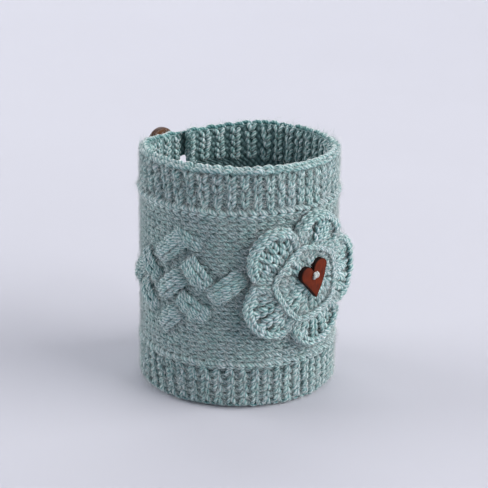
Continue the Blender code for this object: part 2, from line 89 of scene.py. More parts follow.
Strand = namedtuple("Strand", "along up lean length half_width rise")
MOTIFS_ALONG = (-0.0800, 0.0840)
STRANDS = (
    Strand(0.0353, 0.0703, 38, 0.0245, 0.0058, 0.0036),
    Strand(0.0187, 0.0768, -50, 0.0205, 0.0059, 0.0038),
    Strand(0.0157, 0.0570, -30, 0.0222, 0.0056, 0.0030),
    Strand(0.0125, 0.0950, -20, 0.0190, 0.0042, 0.0018),
    Strand(0.0018, 0.0885, 42, 0.0250, 0.0058, 0.0038),
    Strand(0.0017, 0.0670, 42, 0.0220, 0.0058, 0.0036),
    Strand(0.0005, 0.0470, 45, 0.0190, 0.0052, 0.0026),
    Strand(-0.0150, 0.0750, -42, 0.0205, 0.0058, 0.0036),
    Strand(-0.0175, 0.0565, -45, 0.0205, 0.0056, 0.0032),
    Strand(-0.0345, 0.0645, 45, 0.0215, 0.0058, 0.0028),
)

# Flower, as in the part's source
GAP = 0.0003
FLOWER_UP = 0.0728
FLOWER_WRAP_RADIUS = 0.0590
FLOWER_SEAT = GROUND_RADIUS + GAP
FLOWER_LIFT_RIGHT = 0.0040
FLOWER_LIFT_LEFT = 0.0012
FLOWER_HALF_WIDTH = 0.0400
Petal = namedtuple("Petal", "start end reach start_valley end_valley")
PETALS = (  # degrees about the flower's middle, and distances from it in metres
    Petal(-40, 40, 0.0400, 0.0300, 0.0300),
    Petal(40, 109, 0.0382, 0.0300, 0.0268),
    Petal(109, 179, 0.0405, 0.0268, 0.0305),
    Petal(179, 247, 0.0422, 0.0305, 0.0280),
    Petal(247, 320, 0.0397, 0.0280, 0.0300),
)
PETAL_FULLNESS = 0.70
PETAL_FLOOR = 0.0034
PETAL_ROLL = 0.0030
ROLL_WIDTH = 0.0056
PETAL_SHOULDER = 0.0018
ROSETTE_RADIUS = 0.0215
ROSETTE_FLOOR = 0.0052
ROSETTE_ROLL = 0.0016
ROSETTE_ROLL_RADIUS = 0.0185
ROSETTE_ROLL_HALF_WIDTH = 0.0040
ROSETTE_SHIFT = 0.0018
ROSETTE_SHIFT_TURN = math.radians(213)
FLOWER_EDGE = 0.0020

# Heart button, as in the part's source
HEART_HEIGHT = 0.0200
HEART_NOTCH = 0.0042
HEART_LOBE_ACROSS = 0.0046
HEART_LOBE_RADIUS = 0.0042
HEART_LOBE_START = math.radians(150)
HEART_LOBE_END = math.radians(-38)
HEART_SIDE_BOW = (0.0055, -0.0100)
HEART_WIDE_BOW = (0.0064, -0.0125)
HEART_TIP_SHIFT = -0.0006
HEART_WIDE_HALF = 1.14
HEART_SKEW = 0.14
HEART_THICKNESS = 0.0037
HEART_TURN = math.radians(12)
HEART_ALONG = 0.0000
HEART_UP = 0.0729
HEART_HOLE_RADIUS = 0.0020
HEART_HOLE = (0.0006, 0.0031)
HEART_BEVEL = 0.0006
HEART_LOBE_STEPS = 26
HEART_SIDE_STEPS = 14
HEART_SEAT = FLOWER_SEAT + ROSETTE_FLOOR + GAP

# Tab and round button, as in the part's source
TAB_START = math.radians(164)
TAB_END = math.radians(200)
TAB_LOW = 0.1165
TAB_HIGH = 0.1305
TAB_THICKNESS = 0.0038
TAB_SEAT = RIB_GROOVE_RADIUS + RIB_RISE + 0.0004 + GAP
TAB_TIP = 0.25
TAB_EDGE = 0.35
WALE_RISE = 0.0005
BUTTON_AROUND = math.radians(187.0)
BUTTON_UP = 0.1240
BUTTON_RADIUS = 0.0098
BUTTON_THICKNESS = 0.0040
BUTTON_HOLE_RADIUS = 0.0014
BUTTON_HOLE_REACH = 0.0028
BUTTON_DISH = 0.0007
BUTTON_DISH_RADIUS = 0.0060
BUTTON_RIM_RADIUS = 0.0078
BUTTON_EDGE = 0.0012
BUTTON_SEAT = TAB_SEAT + TAB_THICKNESS + WALE_RISE + GAP

# Stitches
PANEL_CHAINS = 20
RINGS = 8  # rings of points along one leg of a stitch
SIDES = 6  # points in each ring
LEG_START = -0.62  # where a leg starts, in pitches from its stitch's middle
LEG_LENGTH = 1.30  # in pitches, so that each leg ends under the next stitch
LEG_CROWN = 0.35  # how far the middle of a leg comes up, in yarn radii
LEG_THIN = 0.62  # thickness of a leg's ends as a share of its middle's
SLIP = 0.035  # how uneven the legs lie along their chain, in pitches
DRIFT = 0.03  # the same across their chain, in widths of it
HEAVE = 0.10  # the same up and down, in yarn radii
THICK_AND_THIN = 0.05  # how uneven the yarn's thickness is, as a share of it
TWIST_SHIFT_MM = 40  # most by which the plies of one leg are ahead of another's
FIBRE_LIT_HEIGHT = 0.0030  # height over the wool at which a loose fibre gets all its painted light and is at its palest
FIBRE_HALF_WIDTH = 0.000048  # about three times a real fibre's, so that the fibres show
STRAND_ROUND = 0.68  # how round a strand's section is: 0 is square and 1 a parabola
CABLE_MOAT = 0.0013  # depth of the knitting drawn in beside a strand
MOAT_REACH = 1.35  # how much wider than its strand a moat is
MOAT_RAMP = 0.0020  # rise of the widened strand at which its moat is at its deepest
PANEL_SINK = 0.00095  # depth of a chain's middle line under the knitting's ground
CABLE_SINK = 0.0013  # the same of a strand's chains
CABLE_REACH = 0.47  # half a strand's stitched length as a share of its whole length
CABLE_WIDTH = 1.94  # width of a strand's chains together, in half widths of the strand
CABLE_BOW = 0.18  # how much nearer to its middle line a strand's chains end
CABLE_TILT = 0.55  # how much the outer chains of a strand turn outward
NARROW_STRAND = 0.0045  # half width up to which a strand has two chains, and not three
CABLE_SHOWS = 0.0012  # rise of a strand that takes the place of the panel's stitches
CABLE_FULLNESS = 1.36  # the strands' yarn stands a little higher than their solid
UNDER_FLOWER = 0.0270  # radius under the flower in which no stitch of the panel shows
POST_SPACING = 11.5  # degrees between the tall stitches of a petal
PURL_WIDTH_MM = 3.6  # one loop of the wrong side
PURL_HEIGHT_MM = 4.79
LONG_PITCH = 0.0056  # the stitches of the cables and of the bound-off rim
WALE_WIDTH = 0.64  # width of a rib's stitches as a share of the way between two ribs
PURL_WIDTH = 0.55  # the same of the arcs between the ribs
PURL_SINK = 0.0009  # depth of an arc's ends under the grooves' ground
PURL_CROWN = 0.0007  # how far the middle of an arc comes up
PURL_APART = 0.0010  # half the distance between the two arcs of a row
PURL_BOW = 0.0008  # how far an arc is bowed away from the other one
WALE_RADIUS_INSIDE = 0.0502  # from the sleeve's axis to the wrong side's stitches
WALE_SINK = 0.00135  # depth of a rib's stitches under the solid's rib
PETAL_MOUND = 0.0022  # how far a petal's middle swells
POST_CLIMB = 0.0011  # how far a tall stitch climbs at the rim
POST_PITCH = 0.0044
POST_WIDTH = 0.0050
EDGE_WIDTH = 0.0046  # width of the chains along the hem, the rim and the slot

# The cloth under the stitches, from the knitting's ground
RIB_STEPS = 6  # points of the cloth from one rib to the next, two for each column
CLOTH_UNDER_PANEL = 0.0014
CLOTH_UNDER_BLEND = 0.0018
CLOTH_UNDER_BAND = 0.0010
CLOTH_RIB = 0.0013
CLOTH_CABLE = 0.9  # share of a strand's rise that the cloth makes under it
LINING_RADIUS = 0.0506  # from the sleeve's axis to the wrong side
LINING_RIB = 0.0006

# Loose fibres
FIBRE_CURL = 1.3  # spread of how much a fibre bends sideways
FIBRE_STEP_TURN = 2.4  # turn of each fibre about itself from the one before it
FIBRE_TWIST = 1.5  # turn of a fibre about itself from its root to its tip
FIBRE_TIP = 0.45  # width of a fibre's tip as a share of its root's

# How the legs of a chain lie: the shares of its width at which a leg starts and ends from
# its middle, how S-shaped a leg is, how many yarn radii its ends go down, how uneven it is
Lie = namedtuple("Lie", "start end bend dive wobble", defaults=(1.0,))
PLAIN = Lie(0.42, 0.09, 0.0, 0.95)
CABLE_LIE = Lie(0.34, 0.16, 0.5, 1.1)
WALE_LIE = Lie(0.44, 0.04, 0.4, 1.9, 2.2)
RIM_LIE = Lie(0.34, 0.16, 0.6, 0.8)
PETAL_RIM_LIE = Lie(0.40, 0.12, 0.6, 1.1)
POST_LIE = Lie(0.44, 0.08, 0.5, 1.2)
ROSETTE_LIE = Lie(0.46, 0.06, 0.4, 1.0)

# Rows of the panel: how far they are lifted, their width and thickness as shares of a plain
# row's and of the yarn's, how their legs lie, and how dark and how pale their legs are
PanelRow = namedtuple("PanelRow", "lift width thick lie dark bright")
PLAIN_ROW = PanelRow(0.0, 1.0, 0.94, PLAIN, 0.0, 0.8)
LEDGE_ROWS = {  # the rows beside the bands, by their place in the panel
    0: PanelRow(0.0002, 1.0, 1.05, Lie(0.36, 0.14, 0.5, 1.2), 0.4, 1.0),
    PANEL_CHAINS - 1: PanelRow(0.0005, 1.15, 1.2, Lie(0.46, 0.04, 0.5, 1.2), 0.4, 1.0),
}

# Rounds of the rosette, and the two chains round a petal: on its crest and its outer wall
ROSETTE_RIM = 0.0188  # distance from the middle to the rosette's chain, at a petal's middle
ROSETTE_BULGE = 0.0020
RimChain = namedtuple("RimChain", "inset height tilt width thick")
RosetteRound = namedtuple("RosetteRound", "near far spokes width")
ROSETTE_ROUNDS = (
    RosetteRound(0.0040, 0.0090, 9, 0.0042),
    RosetteRound(0.0088, 0.0136, 13, 0.0050),
    RosetteRound(0.0134, 0.0187, 17, 0.0053),
)
RIM_CHAINS = (
    RimChain(0.0027, 0.0023, 0.10, 0.0036, 1.00),
    RimChain(0.0011, 0.0001, 1.15, 0.0036, 0.95),
)

FULL_TURN = 2 * math.pi

# Stage: the floor, the lights round it, and the camera fitted to the photograph
FLOOR_REACH = 0.9
SWEEP_RADIUS = 1.4
SWEEP_HEIGHT = 3.2
SLEEVE_MIDDLE = (0.0, 0.0, 0.07)
Lamp = namedtuple("Lamp", "name place target size watts colour")
LAMPS = (
    Lamp("key_window", (0.95, -1.45, 0.85), SLEEVE_MIDDLE, 2.0, 68.0, "#FFFDFC"),
    Lamp("back_window", (-0.95, 1.25, 0.60), SLEEVE_MIDDLE, 1.2, 22.0, "#FFFFFF"),
    Lamp("front_card", (-0.30, -1.60, 0.35), (0.0, 0.0, 0.03), 1.0, 2.0, "#FFFFFF"),
    Lamp("far_panel", (0.80, 1.05, 1.35), (0.80, 1.05, 0.0), 1.3, 11.5, "#FFFFFF"),
)
FOCAL_PIXELS = 1566
PHOTO_PIXELS = 488
SENSOR_MM = 36.0
CAMERA_PLACE = (-0.5446, -0.6447, 0.3553)
CAMERA_TURNS = ((-40.4, "Z"), (71.75, "X"), (0.8, "Z"))


def linear(code):
    """Linear colour of an sRGB hex code."""
    values = [int(code[k : k + 2], 16) / 255 for k in (1, 3, 5)]
    return [v / 12.92 if v <= 0.04045 else ((v + 0.055) / 1.055) ** 2.4 for v in values]


def length(name, description, default):
    """A property in metres."""
    return FloatProperty(name=name, description=description, default=default, unit="LENGTH")


def colour(name, description, code):
    """A property that holds a colour, with an sRGB hex code as its default."""
    return FloatVectorProperty(
        name=name, description=description, default=linear(code), subtype="COLOR"
    )


class CosyYarn(bpy.types.PropertyGroup):
    """The yarn's sizes and colours."""

    radius: length("Yarn Radius", "Half the yarn's thickness in the panel", 0.00113)
    stitch_pitch: length("Stitch Pitch", "Length of a stitch in the stretched panel", 0.0053)
    rib_radius: length("Rib Radius", "Half the yarn's thickness in the ribs", 0.00126)
    rib_pitch: length("Rib Pitch", "Height of one row of the ribs", 0.0042)
    crochet_radius: length("Crochet Radius", "Half the crocheted yarn's thickness", 0.00118)
    crochet_pitch: length("Crochet Pitch", "Length of one crocheted chain", 0.0044)
    ply_pitch: length("Ply Pitch", "Length in which the plies make one turn", 0.0062)
    plies: IntProperty(name="Plies", description="Plies that show round the yarn", default=3, min=1)
    fibre_count: IntProperty(
        name="Halo Fibres", description="Loose fibres on each half of the sleeve", default=38000, min=0
    )
    fibre_length: length("Fibre Length", "Longest loose fibre", 0.0075)
    seed: IntProperty(name="Seed", description="Seed of the hand's unevenness", default=7)
    light: colour("Light Wool", "The palest fibres", "#C2D1D2")
    middle: colour("Sage Wool", "The yarn's main colour", "#91AEAF")
    deep: colour("Deep Wool", "The darkest fibres", "#4E7979")


class CosyTrims(bpy.types.PropertyGroup):
    """The buttons' and threads' colours."""

    heart: colour("Heart Face", "Stained wood of the heart", "#722605")
    scorch: colour("Heart Edge", "Scorched wood of the cut edge", "#1F100D")
    button: colour("Round Button", "Wood of the round button", "#5B3A22")
    thread: colour("Thread", "Sewing yarn", "#BEC2BE")


def ease(x):
    """0 below 0, 1 above 1, and a smooth rise between."""
    x = np.clip(x, 0.0, 1.0)
    return x * x * (3 - 2 * x)


def bump(x):
    """1 at 0, falling smoothly to 0 at 1 and -1."""
    return np.cos(np.clip(x, -1.0, 1.0) * math.pi / 2) ** 2


def stacked(*parts):
    """Places from their three parts, each of which may be one number for all of them."""
    return np.stack(np.broadcast_arrays(*parts), axis=-1)


def on_sleeve(around, radius, up):
    """Points at an angle from the front, a distance from the axis and a height."""
    return stacked(radius * np.sin(around), -radius * np.cos(around), up)


def wrapped(around):
    """The angle, from -pi to pi."""
    return (around + math.pi) % FULL_TURN - math.pi


def centred(along):
    """Distance round the sleeve, from minus to plus half the way round."""
    return (along + ROUND / 2) % ROUND - ROUND / 2


def cable_rise(along, up, reach=1.0):
    """How far the cable strands, made wider by a factor, stand off the plain knitting."""
    rise = np.zeros(np.broadcast(along, up).shape)
    for middle in MOTIFS_ALONG:
        for strand in STRANDS:
            lean = math.radians(strand.lean)
            across = along - middle - strand.along
            above = up - strand.up
            run = across * math.cos(lean) + above * math.sin(lean)
            side = above * math.cos(lean) - across * math.sin(lean)
            rise = np.maximum(rise, strand_rise(strand, run / reach, side / reach))
    return rise


def strand_rise(strand, run, side):
    """How far one strand stands up, at a place along and across it."""
    section = np.clip(1 - (side / strand.half_width) ** 2, 0, 1) ** STRAND_ROUND
    return strand.rise * section * np.clip(1 - np.abs(2 * run / strand.length) ** 3, 0, 1)


def band_share(up):
    """1 in the two ribbed bands and 0 in the panel."""
    hem = 1 - ease((up - BAND_HEIGHT) / BAND_BLEND + 0.5)
    top = ease((up - HEIGHT + BAND_HEIGHT) / BAND_BLEND + 0.5)
    return np.maximum(hem, top)


def rib_along(rib):
    """Distance round the sleeve of a place counted in ribs: the ribs crowd in front."""
    turn = wrapped(FULL_TURN * np.asarray(rib, float) / RIB_COUNT)
    across = np.clip(turn / RIB_CROWD_REACH, -1, 1)
    taken = RIB_CROWD_REACH * ((across + 1) / 2 + np.sin(math.pi * across) / FULL_TURN)
    even = RIB_CROWD_REACH * (turn + math.pi) / FULL_TURN
    return GROUND_RADIUS * (turn - RIB_CROWDING * (taken - even))


def column_around(along, up):
    """Angle of a place on the knitting, which parts round the slot and leans in the bands."""
    from_slot = (along % ROUND - ROUND / 2) / SLOT_COLUMN
    into_slot = np.minimum(up - SLOT_FLOOR, SLOT_CEILING - up) / SLOT_ROUND
    reach = np.sqrt(1 - (1 - np.clip(into_slot, 0, 1)) ** 2)
    reach = np.where(up < SLOT_FLOOR, ease(1 - up / SLOT_FLOOR), reach)
    edge = SLOT_HALF * (SLOT_NARROW + (1 - SLOT_NARROW) * reach)
    distance = np.abs(from_slot)
    inside = distance * edge / SLOT_HALF
    beside = edge + (distance - SLOT_HALF) * (SLOT_FAR - edge) / (SLOT_FAR - SLOT_HALF)
    distance = np.where(distance < SLOT_FAR, beside, distance)
    distance = np.where(np.abs(from_slot) <= SLOT_HALF, inside, distance)
    around = wrapped(np.copysign(distance, from_slot) * SLOT_COLUMN / GROUND_RADIUS + math.pi)
    pull = BAND_LEAN * bump((around - LEAN_MIDDLE) / LEAN_REACH)
    past_top = np.maximum(0.0, up - HEIGHT + BAND_HEIGHT)
    past_hem = np.maximum(0.0, BAND_HEIGHT - up)
    return around + pull * (past_hem - past_top) / GROUND_RADIUS


def ground(up):
    """Distance from the axis to the ground of the knitting."""
    radius = GROUND_RADIUS + band_share(up) * (RIB_GROOVE_RADIUS - GROUND_RADIUS)
    for ledge in LEDGE_HEIGHTS:
        radius = radius + LEDGE_RISE * bump((up - ledge) / LEDGE_HALF_WIDTH)
    return radius + HEM_FLARE * ease(1 - up / BAND_HEIGHT)


def knit_to_space(places):
    """Places on the knitting (along, up, rise) as points in space."""
    along, up, rise = np.moveaxis(places, -1, 0)
    around = column_around(along, up)
    dip = RIM_DIP * ease((np.abs(wrapped(around)) - RIM_DIP_FROM) / (RIM_DIP_TO - RIM_DIP_FROM))
    height = up - dip * ease((up - HEIGHT + BAND_HEIGHT) / BAND_HEIGHT)
    return on_sleeve(around, ground(up) + rise, height)


def flower_to_space(places):
    """Places on the flower (across, above, rise off its back) as points in space."""
    across, above, rise = np.moveaxis(places, -1, 0)
    side = np.where(across > 0, FLOWER_LIFT_RIGHT, FLOWER_LIFT_LEFT)
    lift = (across / FLOWER_HALF_WIDTH) ** 2 * side
    return on_sleeve(across / FLOWER_WRAP_RADIUS, FLOWER_SEAT + lift + rise, FLOWER_UP + above)


def as_it_is(places):
    """Points that already are in space."""
    return places


Legs = namedtuple("Legs", "path normal radius tone")
CAPS = (  # two faces close each end of a tube: 0 for its start or 1 for its end, and corners
    (0, (3, 2, 1, 0)),
    (0, (5, 4, 3, 0)),
    (1, (0, 1, 2, 3)),
    (1, (0, 3, 4, 5)),
)


def joined(parts):
    """Several sets of yarn legs as one."""
    return Legs(*(np.concatenate(group) for group in zip(*parts)))


def kept(legs, mask):
    """The legs of which the mask is true."""
    return Legs(*(group[mask] for group in legs))


def unit(vectors):
    """Vectors of length 1."""
    return vectors / np.maximum(np.linalg.norm(vectors, axis=-1, keepdims=True), 1e-12)


def sampled(at, run, table):
    """Rows of a table at distances along its run."""
    return np.stack([np.interp(at, run, table[:, k]) for k in range(3)], axis=-1)


def lay_chain(hand, path, normal, pitch, width, radius, lie=PLAIN, closed=False, backward=False):
    """Legs of a chain of V stitches along a path, with the tips of the Vs ahead.

    hand is the random generator of the knitter's unevenness."""
    path = np.asarray(path, float)
    normal = np.broadcast_to(np.asarray(normal, float), path.shape)
    if backward:
        path, normal = path[::-1], normal[::-1]
    if closed:
        path = np.concatenate([path[-3:], path, path[:4]])
        normal = np.concatenate([normal[-3:], normal, normal[:4]])
    else:
        path = np.concatenate([[2 * path[0] - path[1]], path, [2 * path[-1] - path[-2]]])
        normal = np.concatenate([normal[:1], normal, normal[-1:]])
    steps = np.linalg.norm(np.diff(path, axis=0), axis=1)
    run = np.concatenate([[0.0], np.cumsum(steps)])
    first, last = (run[3], run[-4]) if closed else (run[1], run[-2])
    count = max(1, round((last - first) / pitch))
    pitch = (last - first) / count
    share = np.linspace(0, 1, RINGS)
    centre = first + (np.arange(count) + 0.5) * pitch
    parts = []
    for side in (-1, 1):
        slip = hand.normal(0, SLIP * lie.wobble, count)
        at = centre[:, None] + pitch * (LEG_START + LEG_LENGTH * share[None, :] + slip[:, None])
        base = sampled(at, run, path)
        ahead = sampled(at + pitch / 4, run, path)
        up = unit(sampled(at, run, normal))
        across = unit(np.cross(up, unit(ahead - base)))
        inward = (lie.start - lie.end) * (share + lie.bend * (ease(share) - share))
        sideways = side * width * (lie.start - inward)
        sideways = sideways[None, :] + hand.normal(0, DRIFT * lie.wobble, count)[:, None] * width
        arch = radius * (-lie.dive + (lie.dive + LEG_CROWN) * np.sin(math.pi * share) ** 0.8)
        arch = arch[None, :] + hand.normal(0, HEAVE, count)[:, None] * radius
        middle = base + across * sideways[..., None] + up * arch[..., None]
        thick = radius * (LEG_THIN + (1 - LEG_THIN) * np.sin(math.pi * share) ** 0.6)
        thick = thick[None, :] * (1 + hand.normal(0, THICK_AND_THIN, count)[:, None])
        parts.append(Legs(middle, up, thick, hand.random(count)))
    return joined(parts)


def lay_strands(hand, paths, normals, radius, taper=0.6):
    """Single legs of yarn along given paths, thinner at both ends."""
    paths = np.asarray(paths, float)
    normals = np.broadcast_to(np.asarray(normals, float), paths.shape)
    share = np.linspace(0, 1, paths.shape[1])
    thick = radius * (taper + (1 - taper) * np.sin(math.pi * share) ** 0.6)
    thick = thick[None, :] * (1 + hand.normal(0, THICK_AND_THIN, len(paths))[:, None])
    return Legs(paths, normals, thick, hand.random(len(paths)))


def linked(name, data):
    """A new object in the scene."""
    piece = bpy.data.objects.new(name, data)
    bpy.context.collection.objects.link(piece)
    return piece


def new_object(name, mesh, material=None):
    """Link an object that rides on the sleeve, with its material if it is given one."""
    if material:
        mesh.materials.append(material)
    piece = linked(name, mesh)
    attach(piece, "root")
    return piece


def quad_mesh(name, points, quads, runs=None, tone=None):
    """Smooth mesh of four-cornered faces, with the run of the yarn as its UV map."""
    mesh = bpy.data.meshes.new(name)
    mesh.from_pydata(points.reshape(-1, 3), [], quads)
    if runs is not None:
        mesh.uv_layers.new(name="run").uv.foreach_set("vector", runs.astype(np.float32).ravel())
    if tone is not None:
        mesh.attributes.new("tone", "FLOAT", "POINT").data.foreach_set("value", tone.astype(np.float32))
    mesh.polygons.foreach_set("use_smooth", np.ones(len(quads), bool))
    mesh.update()
    return mesh


def ring_quads(rows, columns):
    """Faces between rows of points that each close on themselves."""
    low = columns * np.arange(rows - 1)[:, None]
    here, after = np.arange(columns), (np.arange(columns) + 1) % columns
    high = low + columns
    return np.stack([low + here, low + after, high + after, high + here], axis=-1).reshape(-1, 4)


def yarn_mesh(name, legs, to_space):
    """Mesh of yarn legs. Each is a bent tube, and its UV map runs along it in mm and round it."""
    count, rings = legs.path.shape[:2]
    tangent = unit(np.gradient(legs.path, axis=1))
    side = unit(np.cross(tangent, legs.normal))
    lift = np.cross(side, tangent)
    turn = FULL_TURN * np.arange(SIDES) / SIDES - math.pi / 2
    ring = side[:, :, None] * np.cos(turn)[:, None] + lift[:, :, None] * np.sin(turn)[:, None]
    points = to_space(legs.path[:, :, None] + ring * legs.radius[:, :, None, None])
    first = (np.arange(count) * rings * SIDES)[:, None]
    wall = first[:, :, None] + ring_quads(rings, SIDES)
    length_mm = np.linalg.norm(np.diff(legs.path, axis=1), axis=2).cumsum(axis=1) * 1000
    length_mm = np.concatenate([np.zeros((count, 1)), length_mm], axis=1)
    length_mm = length_mm + legs.tone[:, None] * TWIST_SHIFT_MM
    around = np.broadcast_to(np.arange(SIDES) / SIDES, (count, rings - 1, SIDES))
    start = np.broadcast_to(length_mm[:, :-1, None], around.shape)
    end = np.broadcast_to(length_mm[:, 1:, None], around.shape)
    after = around + 1 / SIDES
    wall_runs = np.stack([start, around, start, after, end, after, end, around], axis=-1)
    caps = [first + at * (rings - 1) * SIDES + np.array(corners) for at, corners in CAPS]
    quads = np.concatenate([wall.reshape(-1, 4), *caps])
    runs = np.concatenate([wall_runs.reshape(-1, 8), np.tile([0.0, 0.5] * 4, (4 * count, 1))])
    return quad_mesh(name, points, quads, runs, np.repeat(legs.tone, rings * SIDES))


def hair_mesh(name, paths, half_width, to_space):
    """Mesh of thin flat fibres, each turned about itself so that it shows from every side."""
    count, rings = paths.shape[:2]
    tangent = unit(np.gradient(paths, axis=1))
    side = unit(np.cross(tangent, [0.3, 0.2, 1.0]))
    lift = np.cross(side, tangent)
    turn = FIBRE_STEP_TURN * np.arange(count)[:, None, None]
    turn = turn + np.linspace(0, FIBRE_TWIST, rings)[None, :, None]
    across = side * np.cos(turn) + lift * np.sin(turn)
    thin = half_width * np.linspace(1.0, FIBRE_TIP, rings)[None, :, None]
    points = to_space(np.stack([paths - across * thin, paths + across * thin], axis=2))
    low = (np.arange(count) * rings * 2)[:, None] + (np.arange(rings - 1) * 2)[None, :]
    quads = np.stack([low, low + 1, low + 3, low + 2], axis=-1)
    # Painted light: a fibre's tone grows with its height off the wool, and makes it paler
    stands = np.clip((paths[..., 2] - paths[:, :1, 2]) / FIBRE_LIT_HEIGHT, 0, 1)
    return quad_mesh(name, points, quads.reshape(-1, 4), tone=np.repeat(stands, 2))


def fill(node, **inputs):
    """Give a node's inputs values or links. i0 is its first input, and _ stands for a space."""
    for name, value in inputs.items():
        socket = node.inputs[int(name[1:]) if name[1:].isdigit() else name.replace("_", " ")]
        if isinstance(value, bpy.types.NodeSocket):
            node.id_data.links.new(value, socket)
        else:
            socket.default_value = value


def add_node(tree, kind, settings=None, **inputs):
    """Add a node, set its properties, fill its inputs with values or links: gives its outputs."""
    node = tree.nodes.new("ShaderNode" + kind)
    for name, value in (settings or {}).items():
        setattr(node, name, value)
    fill(node, **inputs)
    return node.outputs


def new_material(name, roughness):
    """A material with only its output and its shader, and its tree and that shader."""
    material = bpy.data.materials.new(name)
    material.use_nodes = True
    tree = material.node_tree
    tree.nodes.clear()
    surface = add_node(tree, "BsdfPrincipled", Roughness=roughness)[0]
    add_node(tree, "OutputMaterial", Surface=surface)
    return material, tree, surface.node


def maths(tree, operation, *values, kind="Math"):
    """The result of one operation on numbers, or on vectors with the kind VectorMath."""
    inputs = {f"i{place}": value for place, value in enumerate(values)}
    return add_node(tree, kind, {"operation": operation}, **inputs)[0]


def noise(tree, place, per_unit, detail=2.0, roughness=0.5):
    """Noise with so many spots to the unit of its place: to the metre, or to the mm of yarn."""
    inputs = {"Vector": place, "Scale": per_unit, "Detail": detail, "Roughness": roughness}
    return add_node(tree, "TexNoise", **inputs)[0]


def mapped(tree, value, before, after):
    """A value moved from one range to another and kept inside it."""
    inputs = {"From_Min": before[0], "From_Max": before[1], "To_Min": after[0], "To_Max": after[1]}
    return add_node(tree, "MapRange", Value=value, **inputs)[0]


def ramp(tree, level, *stops):
    """Colour by level. Each stop is a level and a linear colour."""
    colours = add_node(tree, "ValToRGB", Fac=level)
    elements = colours[0].node.color_ramp.elements
    for element, (position, _) in zip(elements, (stops[0], stops[-1])):
        element.position = position
    for position, _ in stops[1:-1]:
        elements.new(position)
    for element, (_, stop) in zip(elements, stops):
        element.color = rgba(stop)
    return colours[0]


def relief(tree, strength, depth, height):
    """Normal of a surface with this height on it, so many metres deep."""
    return add_node(tree, "Bump", Strength=strength, Distance=depth, Height=height)[0]


def object_place(tree):
    """Place on the piece in metres."""
    return add_node(tree, "TexCoord")["Object"]


def stored(tree, name):
    """A number stored on the mesh."""
    return add_node(tree, "Attribute", {"attribute_name": name})["Fac"]


def yarn_run(tree):
    """Place along the yarn in mm, and round it from 0 to 1."""
    run = add_node(tree, "UVMap", {"uv_map": "run"})[0]
    return add_node(tree, "SeparateXYZ", Vector=run)[:2]


def rgba(colour):
    """A colour with full alpha."""
    return (*colour, 1.0)


def times(share, colour):
    """A colour made darker or lighter."""
    return [share * value for value in colour]


def spun_wool(name, yarn, lighter=0.0, by_stitch=0.16):
    """Wool and alpaca blend, spun in plies and left fuzzy.

    The plies give fine slanting lines, the blend of dyed fibres a heathered colour, and the
    fuzz a soft pale sheen at the edges and no gloss. Light and shade are painted on the yarn:
    it is painted darker in the grooves between its plies and where it turns down, and lighter
    on each ply's crown."""
    material, tree, shader = new_material(name, 0.92)
    along, around = yarn_run(tree)
    turned = maths(tree, "ADD", maths(tree, "MULTIPLY", along, 0.001 / yarn.ply_pitch), around)
    # 0 in the groove between two plies, and most on the crown of each
    ply = maths(tree, "PINGPONG", maths(tree, "MULTIPLY", turned, float(yarn.plies)), 0.5)
    crown = maths(tree, "POWER", ply, 0.8)
    # Streaks of differently dyed fibres that run with the plies, and differ in each stitch
    tone, place = stored(tree, "tone"), object_place(tree)
    sideways, of_stitch = maths(tree, "MULTIPLY", turned, 14.0), maths(tree, "MULTIPLY", tone, 60.0)
    streak_place = add_node(tree, "CombineXYZ", X=along, Y=sideways, Z=of_stitch)[0]
    streak = noise(tree, streak_place, 0.9, 3.0, 0.65)
    # The blend: streaks, flecks under 1 mm, the stitch's tone and patches of about 10 mm; on the
    # flower the rims' tones are raised as painted light, and the posts' kept lower as painted shade
    blend = maths(tree, "MULTIPLY_ADD", streak, 0.55, lighter - 0.165)
    blend = maths(tree, "MULTIPLY_ADD", noise(tree, place, 1250.0, 2.0, 0.7), 0.42, blend)
    blend = maths(tree, "MULTIPLY_ADD", tone, by_stitch, blend)
    blend = maths(tree, "MULTIPLY_ADD", noise(tree, place, 95.0, 3.0, 0.6), 0.28, blend)
    wool_colour = ramp(tree, blend, (0.30, yarn.deep), (0.56, yarn.middle), (0.86, yarn.light))
    # Patches of about 8 mm, greener and redder
    patch = noise(tree, place, 120.0, 1.5)
    tint = ramp(tree, patch, (0.38, (0.94, 1.02, 0.99)), (0.62, (1.03, 1.0, 1.015)))
    tinted = maths(tree, "MULTIPLY", wool_colour, tint, kind="VectorMath")
    # Painted shade and light: the yarn is darker between its plies and where it turns down,
    # and most so in red, and lighter on each ply's crown; the sheen is weaker where it is painted
    # darker
    side = maths(tree, "PINGPONG", around, 0.5)
    outer = mapped(tree, side, (0.08, 0.42), (0.28, 1.08))
    painted_light_level = maths(tree, "MULTIPLY", mapped(tree, crown, (0.0, 0.574), (0.50, 1.32)), outer)
    shading = add_node(tree, "CombineXYZ", X=maths(tree, "POWER", painted_light_level, 1.8), Y=painted_light_level, Z=painted_light_level)[0]
    fuzz = maths(tree, "MULTIPLY_ADD", streak, 0.5, crown)
    fill(
        shader,
        Base_Color=maths(tree, "MULTIPLY", tinted, shading, kind="VectorMath"),
        Normal=relief(tree, 0.8, 0.0004, fuzz),
        Sheen_Weight=mapped(tree, painted_light_level, (0.3, 1.1), (0.15, 1.0)),
        Sheen_Roughness=0.5,
        Sheen_Tint=rgba(linear("#EEEBE6")),
        Specular_IOR_Level=0.2,
    )
    return material


